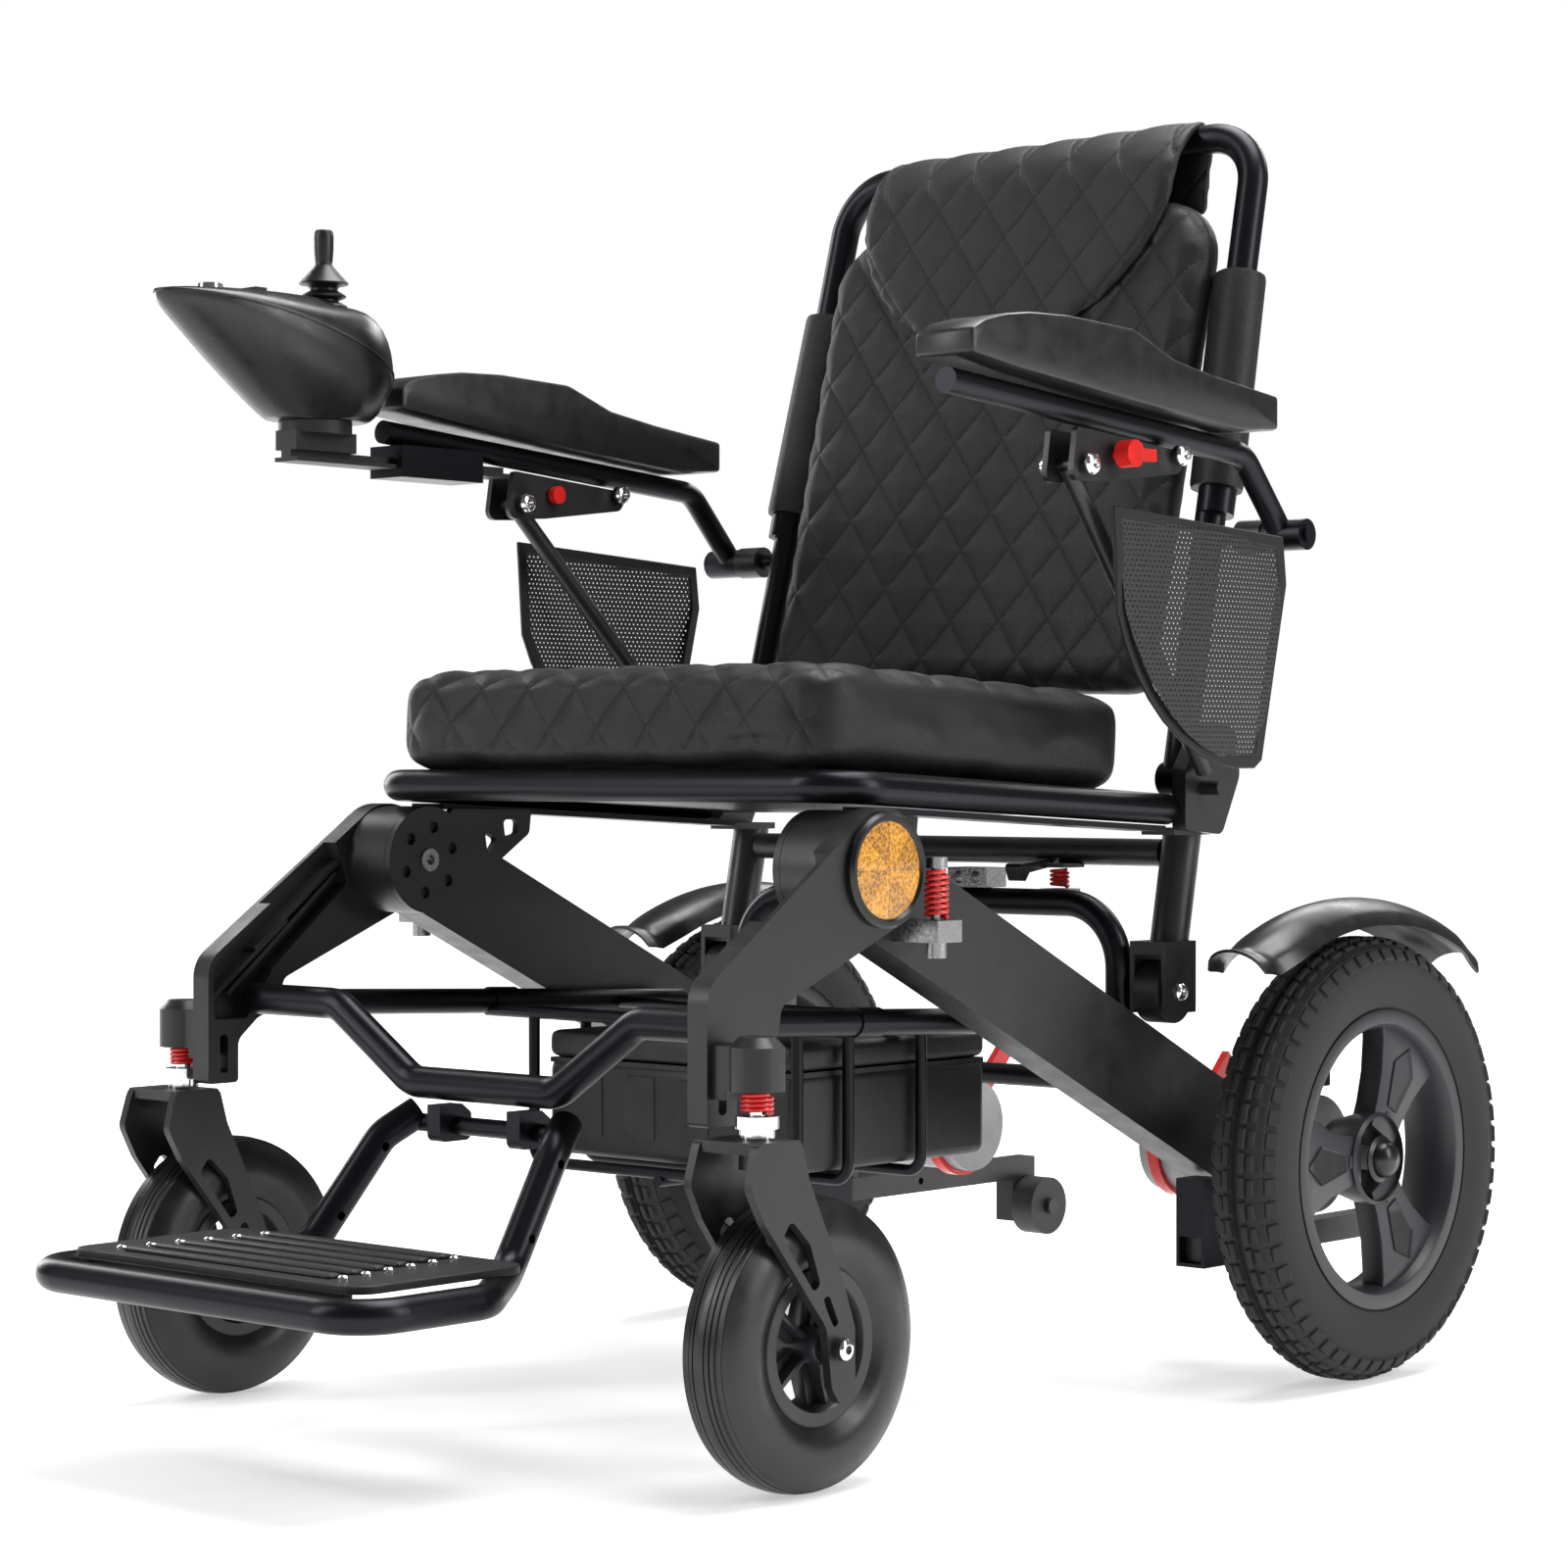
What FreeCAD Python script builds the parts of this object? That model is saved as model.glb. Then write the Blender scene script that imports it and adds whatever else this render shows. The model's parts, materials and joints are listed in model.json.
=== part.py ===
"""Folding power wheelchair, drawn as a parametric document.

Layout frame while drawing: millimetres, X to the chair's left, Y to its rear, Z up, Y = 0 at the rear
axle and Z = 0 on the ground. Every sub-part's Placement then moves it by axle_back, so that the
finished chair stands with the middle of its footprint on the origin.
"""
import FreeCAD, Part
import math
import os

from FreeCAD import Placement, Rotation, Vector

X_AXIS, Y_AXIS, Z_AXIS = Vector(1, 0, 0), Vector(0, 1, 0), Vector(0, 0, 1)
SIDES = (("left", 1.0), ("right", -1.0))

doc = FreeCAD.newDocument("power_wheelchair")

# ---------------------------------------------------------------- driving dimensions

DIMENSIONS = {
    "axle_back": 277.0,          # rear axle behind the middle of the footprint
    "drive_radius": 157.0,       # 12.5 in drive wheel
    "drive_width": 53.0,
    "drive_track": 288.4,        # half the distance between the drive wheels
    "drive_bead": 106.0,         # radius where the drive tyre meets its rim
    "caster_radius": 89.0,       # 7 in caster
    "caster_width": 45.0,
    "caster_bead": 49.0,
    "caster_track": 265.3,
    "caster_forward": 571.6,     # caster axle ahead of the drive axle
    "stem_forward": 609.0,
    "axle_shaft_radius": 8.5,
    "pivot_forward": 461.3,      # main folding pivot
    "pivot_height": 368.5,
    "drum_radius": 37.5,
    "arm_thickness": 28.0,       # rear arm, a box section
    "arm_depth": 67.0,
    "arm_length": 536.0,
    "arm_inside": 186.0,
    "arm_wall": 3.0,
    "arm_slope": 25.7,
    "leg_thickness": 16.0,       # front leg casting
    "leg_inside": 222.0,
    "leg_skin": 4.0,
    "pin_radius": 8.0,
    "running_gap": 0.05,
    "hoop_tube_radius": 9.5,
    "beam_tube_radius": 8.0,
    "cross_tube_radius": 10.5,
    "foot_tube_radius": 10.5,
    "brace_tube_radius": 8.75,
    "wire_radius": 4.0,
    "seat_tube_radius": 10.75,
    "back_tube_radius": 11.0,
    "post_radius": 13.5,
    "arm_tube_radius": 8.5,
    "tube_wall": 1.6,
    "strut_radius": 6.5,
    "stem_radius": 5.0,
    "barrel_radius": 16.5,
    "fork_plate": 6.0,
    "motor_radius": 35,
    "gearbox_radius": 42.0,
    "battery_width": 230.0,
    "battery_length": 203.0,
    "battery_height": 86.0,
    "back_hinge_forward": 104.3,
    "back_hinge_height": 425.0,
    "back_lean": 0.25,           # how far the back goes rearward for each unit of height
    "armrest_pivot_forward": 57.0,
    "armrest_pivot_height": 596.0,
    "armrest_track": 262.0,
    "pad_width": 48.0,
    "roller_radius": 22.0,
    "antitip_track": 214.0,
    "antitip_tube": 18.0,
    "antitip_radius": 24.0,
    "joystick_track": 258.0,
    "footplate_thickness": 5.0,
}

sheet = doc.addObject("Spreadsheet::Sheet", "dims")
for row, (alias, value) in enumerate(DIMENSIONS.items(), start=1):
    sheet.set(f"A{row}", alias)
    sheet.set(f"B{row}", str(value))
    sheet.setAlias(f"B{row}", alias)
doc.recompute()


def dim(alias):
    """A driving dimension as a number."""
    return float(sheet.get(alias))


AXLE_Z = dim("drive_radius")
PIVOT = Vector(0, -dim("pivot_forward"), dim("pivot_height"))
STEM_Y = -dim("stem_forward")
CASTER = Vector(0, -dim("caster_forward"), dim("caster_radius"))
ARMREST_PIVOT = Vector(0, -dim("armrest_pivot_forward"), dim("armrest_pivot_height"))
BACK_HINGE = Vector(0, -dim("back_hinge_forward"), dim("back_hinge_height"))


def back_line(height):
    """Where the back tube's centre line is at a height."""
    return BACK_HINGE.y + dim("back_lean") * (height - BACK_HINGE.z)


# ---------------------------------------------------------------- drawing helpers

nodes = []


def bind(part, **formulas):
    """Ties properties of an object to formulas over the sheet."""
    for name, formula in formulas.items():
        part.setExpression(name, str(formula))
    return part


def node(label, *solids):
    """Gathers a sub-part's solids under its own Label and Placement."""
    group = doc.addObject("Part::Compound", label)
    group.Label = label
    group.Links = list(solids)
    bind(group, **{"Placement.Base.y": "dims.axle_back"})
    nodes.append(group)
    return group


def box(low, high, turn=None, about=None):
    """A block between two corners, turned about X by an angle at a point if asked."""
    part = doc.addObject("Part::Box", "block")
    part.Length, part.Width, part.Height = (high[i] - low[i] for i in range(3))
    part.Placement = Placement(Vector(*low), Rotation())
    if turn is not None:
        spin = Placement(Vector(), Rotation(X_AXIS, turn), about)
        part.Placement = spin.multiply(part.Placement)
    return part


def rod(start, end, radius):
    """A round bar between two points; radius is a formula over the sheet."""
    start, end = Vector(*start), Vector(*end)
    part = doc.addObject("Part::Cylinder", "rod")
    part.Height = (end - start).Length
    part.Placement = Placement(start, Rotation(Z_AXIS, end - start))
    return bind(part, Radius=radius)


def cone(start, end, start_radius, end_radius):
    """A tapered bar between two points."""
    start, end = Vector(*start), Vector(*end)
    part = doc.addObject("Part::Cone", "cone")
    part.Radius1, part.Radius2, part.Height = start_radius, end_radius, (end - start).Length
    part.Placement = Placement(start, Rotation(Z_AXIS, end - start))
    return part


def fuse(*solids):
    """One solid out of several that touch."""
    if len(solids) == 1:
        return solids[0]
    part = doc.addObject("Part::MultiFuse", "joined")
    part.Shapes = list(solids)
    return part


def cut(base, *tools):
    """A solid with other solids taken out of it."""
    part = doc.addObject("Part::Cut", "cut")
    part.Base, part.Tool = base, fuse(*tools)
    return part


def common(first, second):
    """The space that two solids share."""
    part = doc.addObject("Part::Common", "shared")
    part.Base, part.Tool = first, second
    return part


def rounded(outline):
    """Edges of a closed outline of (u, v, corner radius) points."""
    corners = []
    count = len(outline)
    for i, (u, v, radius) in enumerate(outline):
        here = Vector(u, v, 0)
        before = Vector(*outline[i - 1][:2], 0) - here
        after = Vector(*outline[(i + 1) % count][:2], 0) - here
        before.normalize()
        after.normalize()
        half = before.getAngle(after) / 2
        if radius == 0 or half > math.radians(89.5):
            corners.append((here, None, here))
            continue
        reach = radius / math.tan(half)
        middle = (before + after).normalize() * (radius / math.sin(half) - radius)
        corners.append((here + before * reach, here + middle, here + after * reach))
    edges = []
    for i, (enter, top, leave) in enumerate(corners):
        if top is not None:
            edges.append(Part.Arc(enter, top, leave))
        following = corners[(i + 1) % count][0]
        if (following - leave).Length > 1e-6:
            edges.append(Part.LineSegment(leave, following))
    return edges


def sketched(kind, plane, outline, windows=()):
    """A Body with one closed sketch, with windows, on an origin plane, and a feature made from it."""
    body = doc.addObject("PartDesign::Body", "piece")
    origin_plane = next(f for f in body.Origin.OriginFeatures if f.Role == plane)
    sketch = body.newObject("Sketcher::SketchObject", "outline")
    sketch.AttachmentSupport = (origin_plane, "")
    sketch.MapMode = "FlatFace"
    for loop in (outline, *windows):
        sketch.addGeometry(rounded(loop), False)
    feature = body.newObject(kind, "feature")
    feature.Profile = sketch
    sketch.Visibility = False
    return body, sketch, feature


def plate(outline, thickness, at_x, windows=(), bores=(), tilt=0.0, about=None):
    """A plate in the YZ plane from at_x towards +X; bores are (y, z, radius)."""
    body, _, pad = sketched("PartDesign::Pad", "YZ_Plane", outline, windows)
    bind(pad, Length=thickness)
    body.Placement = Placement(Vector(at_x, 0, 0), Rotation())
    if tilt:
        body.Placement = Placement(Vector(), Rotation(Y_AXIS, tilt), about).multiply(body.Placement)
    if not bores:
        return body
    reach = 40
    drills = [rod((at_x - reach, y, z), (at_x + reach, y, z), radius) for y, z, radius in bores]
    return cut(body, *drills)


def slab(outline, thickness, at_z):
    """A plate in the XY plane from at_z upwards."""
    body, _, pad = sketched("PartDesign::Pad", "XY_Plane", outline)
    bind(pad, Length=thickness)
    body.Placement = Placement(Vector(0, 0, at_z), Rotation())
    return body


def turned(outline, centre):
    """A solid of revolution about X through a point; the outline is (along X, radius, corner)."""
    body, sketch, feature = sketched("PartDesign::Revolution", "XY_Plane", outline)
    feature.ReferenceAxis = (sketch, ["H_Axis"])
    feature.Angle = 360.0
    body.Placement = Placement(Vector(*centre), Rotation())
    return body


def bent_wire(points, bend):
    """Straight runs joined by tangent arcs."""
    points = [Vector(*p) for p in points]
    edges, start = [], points[0]
    for before, here, after in zip(points, points[1:], points[2:]):
        inward, onward = (before - here).normalize(), (after - here).normalize()
        half = inward.getAngle(onward) / 2
        reach = bend / math.tan(half)
        enter, leave = here + inward * reach, here + onward * reach
        middle = here + (inward + onward).normalize() * (bend / math.sin(half) - bend)
        edges.append(Part.LineSegment(start, enter).toShape())
        edges.append(Part.Arc(enter, middle, leave).toShape())
        start = leave
    edges.append(Part.LineSegment(start, points[-1]).toShape())
    return Part.Wire(edges)


def swept(wire, radius):
    """A round section, its radius a formula, carried along a wire."""
    path = doc.addObject("Part::Feature", "path")
    path.Shape = wire
    first = wire.OrderedEdges[0]
    start = first.valueAt(first.FirstParameter)
    heading = first.tangentAt(first.FirstParameter)
    ring = doc.addObject("Part::Circle", "ring")
    ring.Placement = Placement(start, Rotation(Z_AXIS, heading))
    bind(ring, Radius=radius)
    part = doc.addObject("Part::Sweep", "sweep")
    part.Sections = [ring]
    part.Spine = (path, [f"Edge{n + 1}" for n in range(len(wire.Edges))])
    part.Solid = True
    part.Frenet = False
    return part


def tube(points, bend, radius, hollow=True):
    """A bent tube with the sheet's wall, or a solid bar."""
    wire = bent_wire(points, bend)
    outer = swept(wire, radius)
    if not hollow:
        return outer
    return cut(outer, swept(wire, f"{radius} - dims.tube_wall"))


def spring(base, height, radius, wire_radius, turns):
    """A coil spring standing on a point, its wire swept along a helix."""
    coil = doc.addObject("Part::Helix", "coil")
    coil.Pitch, coil.Height, coil.Radius = height / turns, height, radius
    coil.Placement = Placement(Vector(*base), Rotation())
    ring = doc.addObject("Part::Circle", "ring")
    ring.Radius = wire_radius
    ring.Placement = Placement(Vector(base[0] + radius, base[1], base[2]), Rotation(Z_AXIS, Y_AXIS))
    part = doc.addObject("Part::Sweep", "spring")
    part.Sections = [ring]
    part.Spine = (coil, ["Edge1"])
    part.Solid = True
    part.Frenet = True
    return part


def both(make):
    """The same solids on the left and on the right of the chair."""
    return [solid for _, side in SIDES for solid in make(side)]


def span(side, near, far):
    """The lower and upper X of a piece that reaches from near to far on one side."""
    return (near, far) if side > 0 else (-far, -near)


def ring_x(side, near, far, y, z, radius):
    """A round bar along X on one side."""
    low, high = span(side, near, far)
    return rod((low, y, z), (high, y, z), radius)


# ---------------------------------------------------------------- rear frame


def rear_arms(side):
    """A box-section arm with the pivot drum on its front end."""
    near, far = span(side, dim("arm_inside"), dim("arm_inside") + dim("arm_thickness"))
    half, wall = dim("arm_depth") / 2, dim("arm_wall")
    start, length = PIVOT.y, dim("arm_length")
    outer = box((near, start, PIVOT.z - half), (far, start + length, PIVOT.z + half),
                -dim("arm_slope"), PIVOT)
    inner = box((near + wall, start + 45, PIVOT.z - half + wall),
                (far - wall, start + length - 60, PIVOT.z + half - wall), -dim("arm_slope"), PIVOT)
    drum = ring_x(side, 184, 221.6, PIVOT.y, PIVOT.z, "dims.drum_radius")
    bore = ring_x(side, 150, 240, PIVOT.y, PIVOT.z, "dims.pin_radius")
    return [cut(fuse(outer, drum), inner, bore)]


node("rear_arms", *both(rear_arms))

HOOP_X, HOOP_Y, HOOP_Z = dim("arm_inside") - dim("hoop_tube_radius"), -133, 337
BEAM_Y, BEAM_Z = -62, 205
hoop = tube([(HOOP_X, HOOP_Y, 195), (HOOP_X, HOOP_Y, HOOP_Z), (-HOOP_X, HOOP_Y, HOOP_Z),
             (-HOOP_X, HOOP_Y, 195)], 45, "dims.hoop_tube_radius")
beam = rod((-dim("arm_inside"), BEAM_Y, BEAM_Z), (dim("arm_inside"), BEAM_Y, BEAM_Z),
           "dims.beam_tube_radius")
SOCKET_Z = 94


def receiver(side):
    """A post under the rear arm with a square socket for the anti-tip arm."""
    middle, half = dim("antitip_track"), dim("antitip_tube") / 2
    outer, inner = half + 3, half + 0.3
    near, far = span(side, middle - outer, middle + outer)
    slot = span(side, middle - inner, middle + inner)
    post = box((near, -100, SOCKET_Z), (far, -76, 144))
    sleeve = box((near, -100, SOCKET_Z - outer), (far, 20, SOCKET_Z + outer))
    bore = box((slot[0], -110, SOCKET_Z - inner), (slot[1], 30, SOCKET_Z + inner))
    return [cut(fuse(post, sleeve), bore)]


node("rear_cross_members", hoop, beam, *both(receiver))


def motor_end(side):
    """Where a motor's can ends, counted from the chair's middle; the left motor is the shorter."""
    return 122 if side > 0 else 60


def motor(side):
    """A motor inside the arm, its gearbox outside, and the wheel's shaft."""
    can = ring_x(side, motor_end(side), 170, 0, AXLE_Z, "dims.motor_radius")
    neck = ring_x(side, 170, dim("arm_inside"), 0, AXLE_Z, "dims.motor_radius - 5")
    gearbox = ring_x(side, 214, 254, 0, AXLE_Z, "dims.gearbox_radius")
    shaft = ring_x(side, 254, 300, 0, AXLE_Z, "dims.axle_shaft_radius")
    return [fuse(can, neck), fuse(gearbox, shaft)]


node("drive_motors", *both(motor))

FENDER_Y, FENDER_Z, FENDER_RADIUS, FENDER_SKIN = -12.0, 70.0, 269.0, 2.5
FENDER_SPAN = (258.0, 318.0)


def fender(side):
    """A curved sheet over the drive wheel on a flat stay."""
    low, high = span(side, *FENDER_SPAN)
    outer = rod((low, FENDER_Y, FENDER_Z), (high, FENDER_Y, FENDER_Z), FENDER_RADIUS + FENDER_SKIN)
    inner = rod((low - 5, FENDER_Y, FENDER_Z), (high + 5, FENDER_Y, FENDER_Z), FENDER_RADIUS)
    window = box((low - 5, -165, 292), (high + 5, 141, 360))
    stay_low, stay_high = span(side, 254, 258)
    stay = box((stay_low, -14, 205), (stay_high, 12, 338))
    tab_low, tab_high = span(side, 254, 266)
    tab = box((tab_low, -14, 333), (tab_high, 12, 337.5))
    return [common(cut(outer, inner), window), fuse(stay, tab)]


node("fenders", *both(fender))

SPRING_Y, SPRING_X = -412.0, 240.0
REAR_SPRING_X, REAR_SPRING_Y = 112.0, -117.0


def pivot_hardware(side):
    """Main pin, spring bracket and bolt of one side."""
    pin = cut(ring_x(side, 177, 236, PIVOT.y, PIVOT.z, "dims.pin_radius"),
              ring_x(side, 170, 182, PIVOT.y, PIVOT.z, 3.5))
    near, far = span(side, 214, 251)
    shelf = box((near, SPRING_Y - 12, 322), (far, SPRING_Y + 12, 336))
    bolt = rod((side * SPRING_X, SPRING_Y, 336), (side * SPRING_X, SPRING_Y, 369), 3.5)
    head = rod((side * SPRING_X, SPRING_Y, 369), (side * SPRING_X, SPRING_Y, 376), 7)
    nut = rod((side * SPRING_X, SPRING_Y, 312), (side * SPRING_X, SPRING_Y, 322), 6.5)
    ledge_low, ledge_high = span(side, REAR_SPRING_X - 11, REAR_SPRING_X + 11)
    ledge = box((ledge_low, -126, 343.5), (ledge_high, REAR_SPRING_Y + 10, 346.5))
    return [pin, shelf, fuse(bolt, head), nut, ledge]


latch = cut(box((28, -141, 346.6), (64, -118, 361)),
            rod((38, -150, 354), (38, -110, 354), 4.5), rod((54, -150, 354), (54, -110, 354), 4.5))
node("pivot_hardware", *both(pivot_hardware), latch)


def suspension(side):
    """The long front spring on its bolt, and the short one under the seat's rear tube."""
    return [spring((side * SPRING_X, SPRING_Y, 337.8), 29.4, 6.6, 1.5, 8),
            spring((side * REAR_SPRING_X, REAR_SPRING_Y, 348), 12, 6, 1.3, 4)]


node("suspension_springs", *both(suspension))

# ---------------------------------------------------------------- front legs


def tangent(point, centre, radius, side):
    """Where a line from a point touches a circle."""
    away = Vector(point[0] - centre[0], point[1] - centre[1], 0)
    swing = math.acos(radius / away.Length) * side
    reach = Rotation(Z_AXIS, math.degrees(swing)).multVec(away).normalize() * radius
    return centre[0] + reach.x, centre[1] + reach.y


LEG_END, LEG_CAP, LEG_CAP_RADIUS = 38.0, 43.0, 36.0
KNEE, HEEL = (-623, 302), (-557, 288)


def past_pivot(start, side):
    """Runs an edge of the leg from a corner along the pivot's disc to the corner beyond it."""
    touch = Vector(*tangent(start, (PIVOT.y, PIVOT.z), LEG_END, side), 0)
    end = touch + (touch - Vector(*start, 0)).normalize() * LEG_CAP
    return end.x, end.y


LEG_LINE = [(-623, 219, 3), (*KNEE, 22)]
LEG_TAIL = [(*HEEL, 8), (-560, 270, 4), (-580, 262, 10), (-597, 248, 10), (-597, 219, 3)]


def leg_outline(inset):
    """The casting's outline, or the outline of its hollow."""
    if not inset:
        cap = [(*past_pivot(KNEE, -1), LEG_CAP_RADIUS), (*past_pivot(HEEL, 1), LEG_CAP_RADIUS)]
        return LEG_LINE + cap + LEG_TAIL
    return [(-618, 262, 4), (-618, 299, 12), (-512, 387, 6), (-499, 352, 6), (-566, 296, 6), (-590, 262, 4)]


def front_leg(side):
    """A hollow casting, ribbed on its inner face, with the caster barrel on its outer face."""
    near, far = span(side, dim("leg_inside"), dim("leg_inside") + dim("leg_thickness"))
    skin = plate(leg_outline(False), "dims.leg_thickness", near,
                 windows=[[(-613, 226, 3), (-613, 252, 3), (-606, 252, 3), (-606, 226, 3)]],
                 bores=[(PIVOT.y, PIVOT.z, "dims.pin_radius + dims.running_gap")])
    depth = dim("leg_thickness") - dim("leg_skin")
    hollow = plate(leg_outline(True), depth + 1, near - 1 if side > 0 else near + dim("leg_skin"))
    ribs = [box((near + 1, -620, 318), (far - 1, -495, 321), 39.7, Vector(0, -557, 320)),
            box((near + 1, -590, 255), (far - 1, -587, 345), -52, Vector(0, -588, 300)),
            box((near + 1, -545, 290), (far - 1, -542, 385), -52, Vector(0, -543, 338))]
    hollow = cut(hollow, *ribs)
    block_low, block_high = span(side, far if side > 0 else -near, 262)
    block = box((block_low, STEM_Y - 10, 236), (block_high, STEM_Y + 10, 268))
    x = side * dim("caster_track")
    barrel = rod((x, STEM_Y, 242), (x, STEM_Y, 268), "dims.barrel_radius")
    dome = cone((x, STEM_Y, 268), (x, STEM_Y, 274), dim("barrel_radius"), 11)
    bore = rod((x, STEM_Y, 230), (x, STEM_Y, 269), "dims.stem_radius + dims.running_gap")
    under = rod((x, STEM_Y, 230), (x, STEM_Y, 242), 20)
    return [cut(fuse(cut(skin, hollow), cut(block, under), barrel, dome), bore)]


node("front_legs", *both(front_leg))

CROSS_END = dim("leg_inside") - 0.6
cross_tube = tube([(-CROSS_END, -584, 275.6), (-140, -579, 275), (-67, -578, 227), (67, -578, 227),
                   (140, -579, 275), (CROSS_END, -584, 275.6)], 26, "dims.cross_tube_radius")
FOOT_HINGE_Y, FOOT_HINGE_Z = -572, 200


def footrest_ear(side):
    """An ear under the cross tube that carries the footrest's hinge bar."""
    near, _ = span(side, 31, 43)
    outline = [(-588, 190, 5), (-588, 214, 0), (-568, 214, 0), (-560, 208, 3), (-560, 190, 5)]
    return [plate(outline, 12, near, bores=[(FOOT_HINGE_Y, FOOT_HINGE_Z, "6 + dims.running_gap")])]


node("front_cross_tube", cross_tube, *both(footrest_ear))


def reflector(side):
    """A round lens in a black ring on the leg's outer face."""
    face = dim("leg_inside") + dim("leg_thickness")
    lens = ring_x(side, face, face + 4, PIVOT.y, PIVOT.z, 30.4)
    rim = cut(ring_x(side, face, face + 5, PIVOT.y, PIVOT.z, 35.5),
              ring_x(side, face - 1, face + 6, PIVOT.y, PIVOT.z, 30.4))
    return [lens, rim]


node("reflectors", *both(reflector))

# ---------------------------------------------------------------- footrest

FOOT_SIDE = [(-68.6, -572, 207), (-80, -594, 192), (-92, -648, 120), (-152, -720, 119), (-152, -819.5, 119)]
foot_points = FOOT_SIDE + [(-x, y, z) for x, y, z in reversed(FOOT_SIDE)]
foot_loop = tube(foot_points, 30, "dims.foot_tube_radius", hollow=False)
foot_bar = rod((-66, FOOT_HINGE_Y, FOOT_HINGE_Z), (66, FOOT_HINGE_Y, FOOT_HINGE_Z), 6)
foot_holes = [rod((-130, y, z), (130, y, z), 3) for y, z in ((-599, 185.4), (-631, 142.6))]
node("footrest_frame", cut(fuse(foot_loop, foot_bar), *foot_holes))

PLATE_TOP = 136.0
foot_slab = slab([(-138, -806, 14), (138, -806, 14), (118, -668, 14), (-118, -668, 14)],
                 "dims.footplate_thickness", PLATE_TOP - dim("footplate_thickness"))
cross_ribs = box((-100, -800, PLATE_TOP - 12), (100, -792, PLATE_TOP - 5))
node("footplate", fuse(foot_slab, cross_ribs))

# ---------------------------------------------------------------- casters

FORK_OUTLINE = [(-638.5, 208, 6), (-644, 188, 10), (-632.5, 166.5, 14), (-582, 102, 12), (-579, 66, 10),
                (-571, 54, 7), (-558, 60, 7), (-556.5, 100, 12), (-567, 132, 14), (-593, 190, 12),
                (-599, 214, 6), (-636, 214, 5)]
FORK_WINDOWS = [[(-618, 158, 4), (-610, 168, 4), (-594, 152, 4), (-586, 128, 4), (-592, 124, 3)],
                [(-585, 118, 3), (-579, 122, 3), (-571, 104, 2), (-575, 101, 2)]]


def profile_of_tyre(half, bead, radius):
    """Half-round tyre section as (along the axle, radius, corner)."""
    return [(-half * 0.72, bead, 3), (-half, bead + 0.36 * (radius - bead), half * 0.5),
            (-half * 0.86, radius - 5, half * 0.3), (-half * 0.5, radius, half * 0.4),
            (half * 0.5, radius, half * 0.4), (half * 0.86, radius - 5, half * 0.3),
            (half, bead + 0.36 * (radius - bead), half * 0.5), (half * 0.72, bead, 3)]


def caster(name, side):
    """Sprung stem, fork, tyre and rim of one caster."""
    x = side * dim("caster_track")
    stem = rod((x, STEM_Y, 190), (x, STEM_Y, 260), "dims.stem_radius")
    collar = rod((x, STEM_Y, 220), (x, STEM_Y, 227.4), 13)
    nut = rod((x, STEM_Y, 214.4), (x, STEM_Y, 220), 10.5)
    node(f"caster_stem_{name}", fuse(stem, collar, nut))
    node(f"caster_spring_{name}", spring((x, STEM_Y, 229.1), 11.4, 8.6, 1.4, 4))

    plates = []
    for hand in (1, -1):
        at = x + (20 if hand > 0 else -26)
        tilt = -2.4 * hand
        plates.append(plate(FORK_OUTLINE, "dims.fork_plate", at, windows=FORK_WINDOWS, tilt=tilt,
                            about=Vector(at, STEM_Y, 214)))
    crown = box((x - 25.6, -636, 207), (x + 25.6, -600, 214))
    boss = rod((x, STEM_Y, 196), (x, STEM_Y, 207), 11)
    bore = rod((x, STEM_Y, 180), (x, STEM_Y, 220), "dims.stem_radius + dims.running_gap")
    bolt = rod((x - 34.5, CASTER.y, CASTER.z), (x + 34.5, CASTER.y, CASTER.z), 5)
    heads = [rod((x + hand * 34.5, CASTER.y, CASTER.z), (x + hand * 37.5, CASTER.y, CASTER.z), 7)
             for hand in (1, -1)]
    node(f"caster_fork_{name}", cut(fuse(*plates, crown, boss, bolt, *heads), bore))

    centre = (x, CASTER.y, CASTER.z)
    half, bead = dim("caster_width") / 2, dim("caster_bead")
    node(f"caster_tyre_{name}", turned(profile_of_tyre(half, bead, dim("caster_radius")), centre))
    rim = turned([(-16, bead, 0), (-16, bead - 8, 3), (-6, bead - 10, 4), (-4, 20, 4), (-20, 16, 2),
                  (-20, 5.05, 0), (20, 5.05, 0), (20, 16, 2), (4, 20, 4), (6, bead - 10, 4),
                  (16, bead - 8, 3), (16, bead, 0)], centre)
    holes = []
    for step in range(5):
        angle = math.radians(72 * step + 18)
        y, z = CASTER.y + 28.5 * math.cos(angle), CASTER.z + 28.5 * math.sin(angle)
        holes.append(rod((x - 30, y, z), (x + 30, y, z), 7.5))
    node(f"caster_rim_{name}", cut(rim, *holes))


for name, side in SIDES:
    caster(name, side)

# ---------------------------------------------------------------- drive wheels

SPOKE_WIDTH, SPOKE_FACE = 36, 15


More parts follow.
